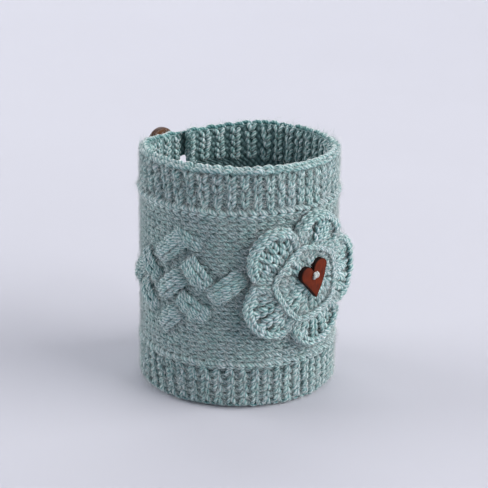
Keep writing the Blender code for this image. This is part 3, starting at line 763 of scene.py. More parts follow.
def purl_wool(name, yarn):
    """The same wool on the knitting's wrong side and in the ground under the stitches.

    Rows of small round loops give it a pebbled look, darker between them. Its colour runs from
    much darker than the yarn up to the yarn's middle colour: painted shade, for the shade in the
    gaps under the stitches and between the loops."""
    material, tree, shader = new_material(name, 0.95)
    place = add_node(tree, "UVMap", {"uv_map": "run"})[0]
    per_mm = (1 / PURL_WIDTH_MM, 1 / PURL_HEIGHT_MM, 0.0)
    loops = []
    for shift in (0.0, 0.5):
        lattice = maths(tree, "MULTIPLY_ADD", place, per_mm, (shift, shift, 0.0), kind="VectorMath")
        loops.append(add_node(tree, "TexVoronoi", Vector=lattice, Scale=1.0, Randomness=0.12)[0])
    loop = mapped(tree, maths(tree, "MINIMUM", *loops), (0.0, 0.45), (1.0, 0.0))
    fleck = noise(tree, object_place(tree), 900.0, 3.0, 0.7)
    level = maths(tree, "MULTIPLY", maths(tree, "MULTIPLY_ADD", fleck, 0.8, 0.1), loop)
    # Painted shade: the dark colour between the loops and in the gaps under the stitches
    between = [share * value for share, value in zip((0.29, 0.40, 0.40), yarn.deep)]
    fill(
        shader,
        Base_Color=ramp(tree, level, (0.0, between), (0.6, yarn.middle)),
        Normal=relief(tree, 1.0, 0.0012, loop),
        Sheen_Weight=0.25,
        Specular_IOR_Level=0.2,
    )
    return material


def wool_fibre(name, yarn):
    """Single wool fibres, so thin that they read as haze. Painted light makes a fibre paler the
    farther it stands off the wool, and painted shade darker than the yarn where it lies on it.
    """
    material, tree, shader = new_material(name, 0.8)
    patch = noise(tree, object_place(tree), 160.0)
    # Random patches, and painted light from the fibre's height off the wool
    patch_and_painted_light = maths(tree, "MULTIPLY_ADD", patch, 0.5, stored(tree, "tone"))
    stops = (0.25, times(0.75, yarn.middle)), (1.0, linear("#E8E9E7"))
    fill(shader, Base_Color=ramp(tree, patch_and_painted_light, *stops), Specular_IOR_Level=0.2)
    return material


def stained_wood(name, colour, dark, roughness, coat):
    """Hardwood, sanded, stained and waxed: dark grain lines, a soft gloss, worn rims."""
    material, tree, shader = new_material(name, roughness)
    place = object_place(tree)
    stretched = maths(tree, "MULTIPLY", place, (1.0, 1.0, 0.16), kind="VectorMath")
    grain = noise(tree, stretched, 1400.0, 4.0, 0.6)
    cloud = maths(tree, "MULTIPLY_ADD", noise(tree, place, 260.0), 0.9, -0.42)
    lines = [0.6 * c + 0.4 * d for c, d in zip(colour, dark)]
    stain = ramp(
        tree,
        maths(tree, "ADD", grain, cloud),
        (0.25, lines),
        (0.75, [min(1.0, value) for value in times(1.25, colour)]),
    )
    inputs = {"i0": stored(tree, "rim"), "i6": stain, "i7": rgba(dark)}
    fill(
        shader,
        Base_Color=add_node(tree, "Mix", {"data_type": "RGBA"}, **inputs)[2],
        Normal=relief(tree, 0.3, 0.0001, grain),
        Specular_IOR_Level=0.15,
        Coat_Weight=coat,
        Coat_Roughness=0.3,
    )
    return material


def cotton_thread(name, colour):
    """Cotton sewing yarn, twisted and matt, with fine slanting lines of painted shade in the grooves
    between its plies.
    """
    material, tree, shader = new_material(name, 0.8)
    along, around = yarn_run(tree)
    # Painted shade: the colour is darker in the grooves between the plies
    slanted = maths(tree, "MULTIPLY_ADD", along, 0.5, around)
    ply = maths(tree, "PINGPONG", maths(tree, "MULTIPLY", slanted, 3.0), 0.5)
    fill(
        shader,
        Base_Color=ramp(tree, ply, (0.0, times(0.55, colour)), (0.3, colour)),
        Normal=relief(tree, 0.7, 0.0003, ply),
        Sheen_Weight=0.2,
    )
    return material


def painted_board(name, colour):
    """Pale painted board, rolled matt: even, with the faintest mottling."""
    material, tree, shader = new_material(name, 0.85)
    mottle = noise(tree, object_place(tree), 6.0, 3.0)
    stops = (0.0, times(0.97, colour)), (1.0, colour)
    fill(shader, Base_Color=ramp(tree, mottle, *stops), Specular_IOR_Level=0.2)
    return material


def material_of(name, make, *settings):
    """The material of this name, made from its settings the first time it is asked for."""
    return bpy.data.materials.get(name) or make(name, *settings)


def wool():
    """The sleeve's yarn."""
    return material_of("spun_wool_knitted", spun_wool, bpy.context.scene.cosy_yarn)


def ground_wool():
    """The cloth under the stitches."""
    return material_of("spun_wool_purl_side", purl_wool, bpy.context.scene.cosy_yarn)


def in_slot(along, up):
    """True where the slot takes the knitting away."""
    from_slot = np.abs((along % ROUND - ROUND / 2) / SLOT_COLUMN)
    return (from_slot < SLOT_HALF) & (up > SLOT_FLOOR)


def wave(along, up, seed):
    """Slow unevenness of a hand knitter, from -1 to 1."""
    turn = FULL_TURN * along / ROUND
    return (
        np.sin(7 * turn + 1.7 * seed + 90 * up)
        + np.sin(13 * turn - 2.1 * seed - 60 * up)
        + np.sin(23 * turn + 0.9 * seed)
    ) / 3


class COSY_OT_knit_ground(bpy.types.Operator):
    """Make the sleeve's cloth: the ground under the stitches and the wrong side"""

    bl_idname = "cosy.knit_ground"
    bl_label = "Knit Ground"

    def execute(self, context):
        steps = RIB_STEPS * RIB_COUNT
        half_slot = round(SLOT_HALF * RIB_STEPS / 3)
        slot = range(steps // 2 - half_slot, steps // 2 + half_slot)
        floor = 24  # the row at the slot's floor
        under = np.linspace(0.0008, SLOT_FLOOR, floor + 1)[:-1]
        beside = np.linspace(SLOT_FLOOR, SLOT_CEILING, 46)[:-1]
        over = np.linspace(SLOT_CEILING, HEIGHT - 0.0010, 17)
        rows = np.concatenate([under, beside, over])
        column_along = rib_along(np.arange(steps) / RIB_STEPS) % ROUND
        along, up = np.meshgrid(column_along, rows)
        rib = 0.5 - 0.5 * np.cos(FULL_TURN * np.arange(steps) / RIB_STEPS)
        band = band_share(up)
        in_band = band * (CLOTH_RIB * rib - CLOTH_UNDER_BAND) - (1 - band) * CLOTH_UNDER_BLEND
        outer = np.where(band > 0, in_band, -CLOTH_UNDER_PANEL)
        outer = outer + CLOTH_CABLE * cable_rise(centred(along), up)
        inner = LINING_RADIUS - LINING_RIB * band * rib - ground(up)
        faces = [knit_to_space(stacked(along, up, rise)).reshape(-1, 3) for rise in (outer, inner)]
        count = steps * len(rows)
        quads = ring_quads(len(rows), steps)
        quads = quads[(quads[:, 0] < floor * steps) | ~np.isin(quads[:, 0] % steps, slot)]
        left, right = column_along[quads[:, 0] % steps], column_along[quads[:, 1] % steps]
        right = np.where(right == 0, ROUND, right)
        low, high = rows[quads[:, 0] // steps], rows[quads[:, 2] // steps]
        runs = 1000 * np.stack([left, low, right, low, right, high, left, high], axis=-1)
        back_runs = runs.reshape(-1, 4, 2)[:, ::-1].reshape(-1, 8)
        # Faces that join the outside to the inside, each from its start and end outside
        last = (len(rows) - 1) * steps
        seams = [(column, (column + 1) % steps) for column in range(steps)]
        seams += [(last + end, last + start) for start, end in seams if start not in slot]
        seams += [(floor * steps + column + 1, floor * steps + column) for column in slot]
        for low in range(floor * steps, last, steps):
            seams.append((low + steps + slot.start, low + slot.start))
            seams.append((low + slot.stop, low + steps + slot.stop))
        start, end = np.array(seams).T
        seam_quads = np.stack([end, start, count + start, count + end], axis=-1)
        quads = np.concatenate([quads, count + quads[:, ::-1], seam_quads])
        runs = np.concatenate([runs, back_runs, np.zeros((len(seams), 8))])
        mesh = quad_mesh("sleeve_ground", np.concatenate(faces), quads, runs)
        piece = new_object("sleeve_ground", mesh, ground_wool())
        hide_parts("sleeve")
        return {"FINISHED"}


class COSY_OT_knit_panel(bpy.types.Operator):
    """Knit the panel's sideways chains of stitches"""

    bl_idname = "cosy.knit_panel"
    bl_label = "Knit Panel"

    def execute(self, context):
        yarn = context.scene.cosy_yarn
        hand = np.random.default_rng(yarn.seed)
        chain_height = (HEIGHT - 2 * BAND_HEIGHT) / PANEL_CHAINS
        along = np.linspace(-ROUND / 2, ROUND / 2, 265)
        parts = []
        for chain in range(PANEL_CHAINS):
            up = BAND_HEIGHT + (chain + 0.5) * chain_height
            up = up + 0.00022 * wave(along, up, chain)
            moat = np.clip(cable_rise(along, up, MOAT_REACH) / MOAT_RAMP, 0, 1)
            rise = cable_rise(along, up) - PANEL_SINK - CABLE_MOAT * moat
            row = LEDGE_ROWS.get(chain, PLAIN_ROW)
            stitches = lay_chain(
                hand, stacked(along, up, rise + row.lift), (0, 0, 1), yarn.stitch_pitch,
                row.width * chain_height, row.thick * yarn.radius, row.lie,
            )
            parts.append(brightened(stitches, row.dark, row.bright))
        legs = joined(parts)
        along, up, _ = np.moveaxis(legs.path[:, RINGS // 2], -1, 0)
        across = along / GROUND_RADIUS * FLOWER_WRAP_RADIUS
        shown = np.hypot(across, up - FLOWER_UP) > UNDER_FLOWER
        shown = shown & (cable_rise(centred(along), up) < CABLE_SHOWS) & ~in_slot(along, up)
        legs = kept(legs, shown)
        left = legs.path[:, 0, 0] < 0
        for name, side in (("panel_stitches_left", left), ("panel_stitches_right", ~left)):
            new_object(name, yarn_mesh(name, kept(legs, side), knit_to_space), wool())
        return {"FINISHED"}


class COSY_OT_work_cables(bpy.types.Operator):
    """Work the strands of the two woven cables"""

    bl_idname = "cosy.work_cables"
    bl_label = "Work Cables"

    def execute(self, context):
        yarn = context.scene.cosy_yarn
        hand = np.random.default_rng(yarn.seed + 1)
        parts = []
        for middle in MOTIFS_ALONG:
            for strand in STRANDS:
                lean = math.radians(strand.lean)
                run = np.linspace(-CABLE_REACH, CABLE_REACH, 13) * strand.length
                chains = 3 if strand.half_width > NARROW_STRAND else 2
                width = CABLE_WIDTH * strand.half_width / chains
                for place in range(chains):
                    side = (place - (chains - 1) / 2) * width
                    bow = side * (1 - CABLE_BOW * (2 * run / strand.length) ** 2)
                    along = middle + strand.along + run * math.cos(lean) - bow * math.sin(lean)
                    up = strand.up + run * math.sin(lean) + bow * math.cos(lean)
                    rise = CABLE_FULLNESS * strand_rise(strand, run, side) - CABLE_SINK
                    tilt = side / strand.half_width * CABLE_TILT
                    normal = (-math.sin(lean) * tilt, math.cos(lean) * tilt, 1.0)
                    path, radius = stacked(along, up, rise), 1.05 * yarn.radius
                    chain = lay_chain(hand, path, normal, LONG_PITCH, width, radius, CABLE_LIE)
                    parts.append(chain)
        mesh = yarn_mesh("cable_stitches", brightened(joined(parts), 0.1, 0.85), knit_to_space)
        new_object("cable_stitches", mesh, wool())
        return {"FINISHED"}


def purl_arcs(hand, along, up, radius, width):
    """Two short arcs of yarn across each groove, one bowed up and one down."""
    share = np.linspace(-1, 1, RINGS)
    paths = []
    across = along[:, None] + share * width[:, None] / 2
    rise = PURL_CROWN * (1 - share**2) - PURL_SINK
    for side in (1, -1):
        above = up[:, None] + side * (PURL_APART + PURL_BOW * (0.5 - share**2))
        paths.append(stacked(across, above, rise))
    return lay_strands(hand, np.concatenate(paths), (0, 0, 1), radius)


def rib_width(rib):
    """Distance from one rib to the next at this place, counted in ribs."""
    return (rib_along(rib + 0.5) - rib_along(rib - 0.5)) % ROUND


def rib_band(hand, yarn, low, high, backward, inside):
    """Legs of one ribbed band: knit wales on its ribs and purl arcs in its grooves."""
    rows = max(1, round((high - low) / yarn.rib_pitch))
    pitch = (high - low) / rows
    parts = []
    heights = np.linspace(low, high, 17)
    rise = WALE_RADIUS_INSIDE - RIB_GROOVE_RADIUS if inside else RIB_RISE - WALE_SINK
    normal = (0, 0, -1) if inside else (0, 0, 1)
    for rib in np.arange(RIB_COUNT) + (0.0 if inside else 0.5):
        along = rib_along(rib)
        if in_slot(along, high):
            continue
        path = stacked(along, heights + hand.uniform(-0.25, 0.25) * pitch, rise)
        parts.append(
            lay_chain(
                hand, path, normal, pitch, WALE_WIDTH * rib_width(rib), yarn.rib_radius,
                WALE_LIE, backward=backward,
            )
        )
    if not inside:
        grooves = np.arange(RIB_COUNT)
        centres = low + (np.arange(rows) + 0.5) * pitch
        along, up = (grid.ravel() for grid in np.meshgrid(rib_along(grooves) % ROUND, centres))
        width = PURL_WIDTH * np.tile(rib_width(grooves), rows)
        clear = ~in_slot(along, high)
        parts.append(purl_arcs(hand, along[clear], up[clear], yarn.radius * 0.88, width[clear]))
    legs = joined(parts)
    level = legs.path[..., 1]
    flare = HEM_FLARE * ease(1 - level / BAND_HEIGHT)
    legs.path[..., 2] += RIB_GROOVE_RADIUS + flare - ground(level)
    legs.path[..., 1] = np.maximum(level, yarn.rib_radius + 0.0003)
    return legs


class COSY_OT_knit_bands(bpy.types.Operator):
    """Knit the two ribbed bands, and the wrong side of the upper one"""

    bl_idname = "cosy.knit_bands"
    bl_label = "Knit Bands"

    def execute(self, context):
        yarn = context.scene.cosy_yarn
        hand = np.random.default_rng(yarn.seed + 2)
        hem = rib_band(hand, yarn, 0.0022, BAND_HEIGHT, False, False)
        top_low = HEIGHT - BAND_HEIGHT + 0.0006
        top = rib_band(hand, yarn, top_low, HEIGHT - 0.0034, True, False)
        lining = rib_band(hand, yarn, top_low - 0.0010, HEIGHT - 0.0018, True, True)
        for name, legs in (("hem_rib", hem), ("top_rib", top), ("top_rib_wrong_side", lining)):
            new_object(name, yarn_mesh(name, legs, knit_to_space), wool())
        return {"FINISHED"}


class COSY_OT_finish_edges(bpy.types.Operator):
    """Cast on the hem, bind off the rim and edge the slot"""

    bl_idname = "cosy.finish_edges"
    bl_label = "Finish Edges"

    def execute(self, context):
        yarn = context.scene.cosy_yarn
        hand = np.random.default_rng(yarn.seed + 3)
        width = EDGE_WIDTH
        middle = (INNER_RADIUS + RIB_GROOVE_RADIUS + RIB_RISE) / 2 + 0.0001
        edge = (SLOT_HALF + 0.3) * SLOT_COLUMN
        ribs = np.linspace(-RIB_COUNT / 2, RIB_COUNT / 2, 8 * RIB_COUNT + 1)[16:-16]
        along = np.clip(rib_along(ribs), edge - ROUND / 2, ROUND / 2 - edge)
        up = HEIGHT - 0.0013 - 0.0003 * np.cos(FULL_TURN * ribs)
        rim = knit_to_space(stacked(along, up, middle + 0.0010 - ground(up)))
        normal = unit(unit(rim * [1, 1, 0]) * 0.55 + [0.0, 0.0, 0.83])
        radius = 1.18 * yarn.rib_radius
        rim = lay_chain(hand, rim, normal, LONG_PITCH, width, radius, RIM_LIE)
        up = 0.0021
        hem = knit_to_space(stacked(np.arange(220) * ROUND / 220, up, middle - ground(up)))
        hem = lay_chain(hand, hem, (0, 0, -1), yarn.rib_pitch, width, yarn.radius, closed=True)
        down = np.linspace(HEIGHT - 0.001, SLOT_FLOOR, 60)
        up = np.concatenate([down, np.full(14, SLOT_FLOOR), down[::-1]])
        half = SLOT_HALF * SLOT_COLUMN
        along = [np.full(60, -half), np.linspace(-half, half, 16)[1:-1], np.full(60, half)]
        along = ROUND / 2 + np.concatenate(along)
        face = knit_to_space(stacked(along, up, middle - ground(up)))
        inward = np.cross(unit(face * [1, 1, 0]), unit(np.gradient(face, axis=0)))
        face = face + inward * 0.0001
        slot = lay_chain(hand, face, inward, yarn.stitch_pitch, width, yarn.radius)
        mesh = yarn_mesh("edge_chains", joined([rim, hem, slot]), as_it_is)
        new_object("edge_chains", mesh, wool())
        return {"FINISHED"}


def petal_edge(petal, share):
    """Distance from the flower's middle to its edge, at a share of the way over a petal."""
    bow = np.clip(1 - (2 * share - 1) ** 2, 0, 1) ** PETAL_FULLNESS
    valley = petal.start_valley + share * (petal.end_valley - petal.start_valley)
    return valley + (petal.reach - valley) * bow


def petal_turn(petal, share):
    """Turn about the flower's middle at a share of the way over a petal."""
    return np.radians(petal.start + share * (petal.end - petal.start))


def rosette_scale(turn):
    """How much farther than its even radius a ring of the rosette runs in one direction."""
    return 1 + ROSETTE_SHIFT / ROSETTE_RADIUS * np.cos(turn - ROSETTE_SHIFT_TURN)


def flower_height(petal, share, distance):
    """How far the flower's face stands off its back, at this place on it."""
    even = distance / rosette_scale(petal_turn(petal, share))
    roll = bump((even - ROSETTE_ROLL_RADIUS) / ROSETTE_ROLL_HALF_WIDTH)
    rosette = ROSETTE_FLOOR + ROSETTE_ROLL * roll
    to_valley = np.radians(petal.end - petal.start) * np.minimum(share, 1 - share) * distance
    from_edge = np.minimum(petal_edge(petal, share) - distance, to_valley)
    body = (PETAL_FLOOR - FLOWER_EDGE) * ease(from_edge / PETAL_SHOULDER)
    roll = PETAL_ROLL * bump((from_edge - ROLL_WIDTH / 2) / (ROLL_WIDTH / 2))
    return np.where(even <= ROSETTE_RADIUS, rosette, FLOWER_EDGE + body + roll)


def polar(distance, turn, rise):
    """Places on the flower from their distance and turn about its middle."""
    return stacked(distance * np.cos(turn), distance * np.sin(turn), rise)


def rosette_rim(turn):
    """Distance to the rosette's chain, which bulges towards the valleys between petals."""
    reach = np.zeros_like(turn)
    for petal in PETALS:
        start, end = math.radians(petal.start), math.radians(petal.end)
        share = (turn - start) % FULL_TURN / (end - start)
        bulge = ROSETTE_BULGE * np.abs(2 * share - 1) ** 1.6
        reach = np.where(share < 1, ROSETTE_RIM + bulge, reach)
    return reach * rosette_scale(turn)


def brightened(legs, low, high):
    """The legs with their tones moved between two values."""
    return legs._replace(tone=low + (high - low) * legs.tone)


def petal_rim(hand, petal, radius, pitch):
    """Two chains round a petal: on its crest and on its outer wall, run in along the valleys."""
    share = np.linspace(0.02, 0.98, 40)
    edge = petal_edge(petal, share)
    valleys = [0, -1]
    inner = rosette_rim(petal_turn(petal, share[valleys])) + 0.0006
    inner = np.minimum(inner, edge[valleys] - 0.0006)
    into = np.linspace(inner[0], edge[0], 7)[:-1]
    out = np.linspace(edge[-1], inner[1], 7)[1:]
    edge = np.concatenate([into, edge, out])
    share = np.concatenate([np.full(6, share[0]), share, np.full(6, share[-1])])
    turn = petal_turn(petal, share)
    tangent = unit(np.gradient(polar(edge, turn, 0.0), axis=0))
    outward = np.cross(tangent, [0.0, 0.0, 1.0])
    end = 1 - ease(np.minimum(share, 1 - share) / 0.12)
    parts = []
    for inset, height, tilt, width, thick in RIM_CHAINS:
        place = polar(edge, turn, 0.0) - outward * (inset * (1 - 0.40 * end))[:, None]
        place[:, 2] = PETAL_FLOOR + height - 0.0010 * end
        normal = unit(outward * math.sin(tilt) + np.array([0.0, 0.0, math.cos(tilt)]))
        thick = radius * thick
        parts.append(lay_chain(hand, place, normal, pitch, width, thick, PETAL_RIM_LIE))
    # Painted light: the rim's chains get tones from 0.45 up, lighter than the posts inside the petal
    return brightened(joined(parts), 0.45, 1.0)


def petal_posts(hand, petal, radius):
    """Tall stitches from the rosette to a petal's rim, each a short thick chain."""
    count = round((petal.end - petal.start) / POST_SPACING)
    parts = []
    for post in range(count):
        at = (post + 0.5) / count
        turn = petal_turn(petal, at)
        near = rosette_rim(turn) + 0.0002
        far = petal_edge(petal, at) - ROLL_WIDTH + 0.0020
        share = np.linspace(0, 1, 9)
        reach = near + (far - near) * share + hand.uniform(-0.0012, 0.0012)
        mound = PETAL_MOUND * bump((at - 0.5) / 0.55) * bump((share - 0.45) / 0.55)
        climb = POST_CLIMB * ease((share - 0.55) / 0.45)
        level = PETAL_FLOOR - 0.0004 + mound + climb + hand.normal(0, 0.0005)
        slant = hand.normal(0, 0.0014) * (2 * share - 1) / reach
        parts.append(
            lay_chain(
                hand, polar(reach, turn + slant, level), (0, 0, 1), POST_PITCH, POST_WIDTH,
                radius * 1.10, POST_LIE, backward=True,
            )
        )
    # Painted shade: the posts in the petal's hollow keep lower tones than its rim
    return brightened(joined(parts), 0.1, 0.9)


def rosette_legs(hand, radius):
    """The rosette: a chain round it with raised tones, as painted light on its roll, and rings of
    V stitches with tips inward, lower in tone as painted shade.
    """
    turn = np.linspace(0, FULL_TURN, 121)[:-1]
    rim = polar(rosette_rim(turn), turn, ROSETTE_FLOOR + ROSETTE_ROLL - 0.0004)
    rim = lay_chain(hand, rim, (0, 0, 1), 0.0046, 0.0028, radius * 0.80, closed=True)
    parts = [brightened(rim, 0.5, 1.0)]
    for near, far, spokes, width in ROSETTE_ROUNDS:
        for spoke in range(spokes):
            turn = FULL_TURN * (spoke + 0.25 + hand.normal(0, 0.10)) / spokes
            share = np.linspace(0, 1, 9)
            reach = (near + (far - near) * share) * rosette_scale(turn)
            level = 0.0004 * np.sin(math.pi * share) + hand.normal(0, 0.0004)
            legs = lay_chain(
                hand, polar(reach, turn, ROSETTE_FLOOR - 0.0012 + level), (0, 0, 1), far - near,
                width, radius * 1.25, ROSETTE_LIE, backward=True,
            )
            parts.append(brightened(legs, 0.1, 0.9))
    return joined(parts)


class COSY_OT_crochet_flower(bpy.types.Operator):
    """Crochet the flower: a cloth back, petals with chained rims, and a chained rosette"""

    bl_idname = "cosy.crochet_flower"
    bl_label = "Crochet Flower"

    def execute(self, context):
        yarn = context.scene.cosy_yarn
        hand = np.random.default_rng(yarn.seed + 4)
        radius, pitch = yarn.crochet_radius, yarn.crochet_pitch
        parts = [rosette_legs(hand, radius)]
        for petal in PETALS:
            parts.append(petal_rim(hand, petal, radius, pitch))
            parts.append(petal_posts(hand, petal, radius))
        mesh = yarn_mesh("flower_stitches", joined(parts), flower_to_space)
        material = material_of("spun_wool_crocheted", spun_wool, yarn, -0.03, 0.20)
        stitches = new_object("flower_stitches", mesh, material)
        ground_piece = self.cloth()
        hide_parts("flower")
        return {"FINISHED"}

    def cloth(self):
        """The flower's cloth under its stitches."""
        petals = Petal(*np.repeat(PETALS, 24, axis=0).T)
        shares = np.tile(np.linspace(0, 1, 25)[:-1], len(PETALS))
        turns = petal_turn(petals, shares)
        edges = petal_edge(petals, shares) - 0.0010
        rows = []
        for part in np.linspace(0.02, 1, 26):
            rise = flower_height(petals, shares, part * edges) - 0.0015
            rows.append(polar(part * edges, turns, np.maximum(rise, 0.0008)))
        for part in np.linspace(1, 0.02, 12):
            rows.append(polar(part * edges, turns, 0.0001))
        rows = flower_to_space(np.array(rows))
        quads = ring_quads(*rows.shape[:2])[:, [0, 3, 2, 1]]
        spread = flower_place(rows.reshape(-1, 3)[quads])
        mesh = quad_mesh("flower_ground", rows, quads, spread)
        return new_object("flower_ground", mesh, ground_wool())


def flower_place(corners):
    """UV places in mm of points on the flower, seen from the front."""
    return corners[..., [0, 2]] * 1000


class COSY_OT_brush_halo(bpy.types.Operator):
    """Brush up the loose fibres that stand off the wool"""

    bl_idname = "cosy.brush_halo"
    bl_label = "Brush Halo"

    def execute(self, context):
        yarn = context.scene.cosy_yarn
        hand = np.random.default_rng(yarn.seed + 5)
        count = yarn.fibre_count
        halves = (("sleeve_halo_left", -ROUND / 2, 0.0), ("sleeve_halo_right", 0.0, ROUND / 2))
        for name, low, high in halves:
            along = hand.uniform(low, high, count)
            up = hand.uniform(0.0025, HEIGHT + 0.0002, count)
            clear = ~in_slot(along, up)
            along, up = along[clear], up[clear]
            rise = band_share(up) * 0.0021 - 0.0002 + cable_rise(along, up)
            fibres = self.fibres(hand, along, up, rise, yarn.fibre_length)
            fibres[..., 1] = np.maximum(fibres[..., 1], 0.0004)
            self.brush(name, fibres, knit_to_space, "yarn", yarn)
        few = count // 4
        petals = Petal(*np.array(PETALS)[hand.integers(0, len(PETALS), few)].T)
        share = hand.random(few)
        distance = petal_edge(petals, share) * np.sqrt(hand.uniform(0.10, 1.0, few))
        rise = flower_height(petals, share, distance) - 0.0002
        start = polar(distance, petal_turn(petals, share), rise)
        fibres = self.fibres(hand, *start.T, yarn.fibre_length)
        self.brush("flower_halo", fibres, flower_to_space, "flower_yarn", yarn)
        return {"FINISHED"}

    def brush(self, name, fibres, to_space, slot, yarn):
        """One piece of loose fibres."""
        mesh = hair_mesh(name, fibres, FIBRE_HALF_WIDTH, to_space)
        new_object(name, mesh, material_of("wool_fibre", wool_fibre, yarn))

    def fibres(self, hand, along, up, rise, longest):
        """Bent fibres from these places: most are short, and a few are long and lie flatter."""
        count = len(along)
        share = np.linspace(0, 1, 3)[None, :]
        long = hand.random(count) ** 5
        part = 0.24 + 0.26 * hand.random(count) + 0.50 * long
        length = longest * part[:, None]
        heading = hand.uniform(0, FULL_TURN, count)[:, None]
        curl = hand.normal(0, FIBRE_CURL, count)[:, None]
        stand = ((0.15 + 0.80 * hand.random(count)) * (1 - 0.6 * long))[:, None]
        along = along[:, None] + length * share * np.cos(heading + curl * share)
        up = up[:, None] + length * share * np.sin(heading + curl * share)
        rise = rise[:, None] + length * stand * share * (1.5 - 0.7 * share)
        return stacked(along, up, rise)


def half_heart(bow):
    """Points from an upright heart's notch round one lobe and down a bowed side to its tip."""
    half = [(0.0, -HEART_NOTCH)]
    for turn in np.linspace(HEART_LOBE_START, HEART_LOBE_END, HEART_LOBE_STEPS + 1):
        across = HEART_LOBE_ACROSS + HEART_LOBE_RADIUS * math.cos(turn)
        half.append((across, HEART_LOBE_RADIUS * (math.sin(turn) - 1)))
    start, bow, tip = np.array([half[-1], bow, (0.0, -HEART_HEIGHT)])
    share = np.linspace(0, 1, HEART_SIDE_STEPS + 1)[1:, None]
    side = (1 - share) ** 2 * start + 2 * share * (1 - share) * bow + share**2 * tip
    return np.concatenate([half, side])


def heart_outline():
    """Points round the heart: one half cut wider and higher than the other."""
    wide = half_heart(HEART_WIDE_BOW)
    other = half_heart(HEART_SIDE_BOW)[-2:0:-1] * [-1, 1]
    across, level = np.concatenate([wide, other]).T
    above = level + HEART_HEIGHT / 2 + HEART_SKEW * across
    across = np.where(across > 0, HEART_WIDE_HALF * across, across)
    return np.stack([across + HEART_TIP_SHIFT * (level / HEART_HEIGHT) ** 2, above], axis=1)


def drawn_in(outline, depth):
    """The outline moved inward by a small depth."""
    before = unit(outline - np.roll(outline, 1, axis=0))
    after = unit(np.roll(outline, -1, axis=0) - outline)
    along = unit(before + after)
    x, y = outline.T
    area = np.sum(x * np.roll(y, -1) - y * np.roll(x, -1))
    inward = np.stack([-along[:, 1], along[:, 0]], axis=1) * np.sign(area)
    miter = np.clip(np.sum(along * after, axis=1), 0.6, 1.0)[:, None]
    return outline + inward * depth / miter


def facing_out(around, radius, up, turn):
    """Matrix that stands a piece, modelled flat with +Z as its face, on the sleeve."""
    place = Matrix.Translation(Vector(on_sleeve(around, radius, up)))
    return place @ Euler((math.pi / 2, turn, around)).to_matrix().to_4x4()


def face_out(mesh):
    """Turn a closed mesh's faces outward."""
    shell = bmesh.new()
    shell.from_mesh(mesh)
    bmesh.ops.recalc_face_normals(shell, faces=shell.faces)
    shell.to_mesh(mesh)
    shell.free()


def cut_blank(name, points, columns):
    """Closed mesh through rings of points, with a face over its first and its last ring."""
    last = len(points) - columns
    faces = [list(range(columns)), list(range(last, last + columns))]
    faces += ring_quads(len(points) // columns, columns).tolist()
    mesh = bpy.data.meshes.new(name)
    mesh.from_pydata(points, [], faces)
    mesh.update()
    face_out(mesh)
    return mesh


def punch(piece, radius, sides, across, above):
    """Cut a round hole through a flat button with a helper that is then removed."""
    bpy.ops.mesh.primitive_cylinder_add(vertices=sides, radius=radius, depth=0.02)
    cutter = bpy.context.object
    cutter.location = (across, above, 0.0)
    cut = piece.modifiers.new("hole", "BOOLEAN")
    cut.solver = "EXACT"
    cut.object = cutter
    bpy.context.view_layer.update()
    evaluated = piece.evaluated_get(bpy.context.evaluated_depsgraph_get())
    mesh = bpy.data.meshes.new_from_object(evaluated)
    piece.modifiers.clear()
    old = piece.data
    piece.data = mesh
    bpy.data.meshes.remove(old)
    bpy.data.objects.remove(cutter)


def finish_wood(piece, material, rim_of, place):
    """Give a cut button its material and place, and store how worn or scorched its rims are."""
    mesh = piece.data
    mesh.materials.append(material)
    points = np.empty(len(mesh.vertices) * 3)
    mesh.vertices.foreach_get("co", points)
    rim = rim_of(*points.reshape(-1, 3).T).astype(np.float32)
    mesh.attributes.new("rim", "FLOAT", "POINT").data.foreach_set("value", rim)
    mesh.shade_smooth()
    mesh.set_sharp_from_angle(angle=math.radians(40))
    mesh.transform(place)


def heart_rim(across, above, level):
    """1 on the heart's scorched edge, less towards its face and round its hole."""
    outline = heart_outline()
    apart = np.hypot(across[:, None] - outline[:, 0], above[:, None] - outline[:, 1]).min(axis=1)
    side = 0.8 * np.clip(1 - apart / 0.0014, 0, 1)
    below = np.clip((HEART_THICKNESS - level) / 0.0006, 0, 1)
    from_hole = np.hypot(across - HEART_HOLE[0], above - HEART_HOLE[1]) - HEART_HOLE_RADIUS
    hole = 0.35 * np.clip(1 - np.abs(from_hole) / 0.0004, 0, 1)
    return np.clip(np.maximum(side, below) + hole, 0, 1)


def button_rim(across, above, _):
    """More than 0 on the round button's outer rim and round its dish, where it is worn dark."""
    reach = np.hypot(across, above)
    outer = 0.55 * np.clip((reach - 0.0088) / 0.0008, 0, 1)
    return outer + 0.4 * bump((reach - 0.0061) / 0.0006)


def sew_loops(name, hand, paths, radius, taper, place):
    """Loops of sewing yarn over a button's face."""
    legs = lay_strands(hand, np.array(paths), (0, 0, 1), radius, taper)
    mesh = yarn_mesh(name, legs, as_it_is)
    mesh.transform(place)
    colour = bpy.context.scene.cosy_trims.thread
    return new_object(name, mesh, material_of("cotton_thread", cotton_thread, colour))


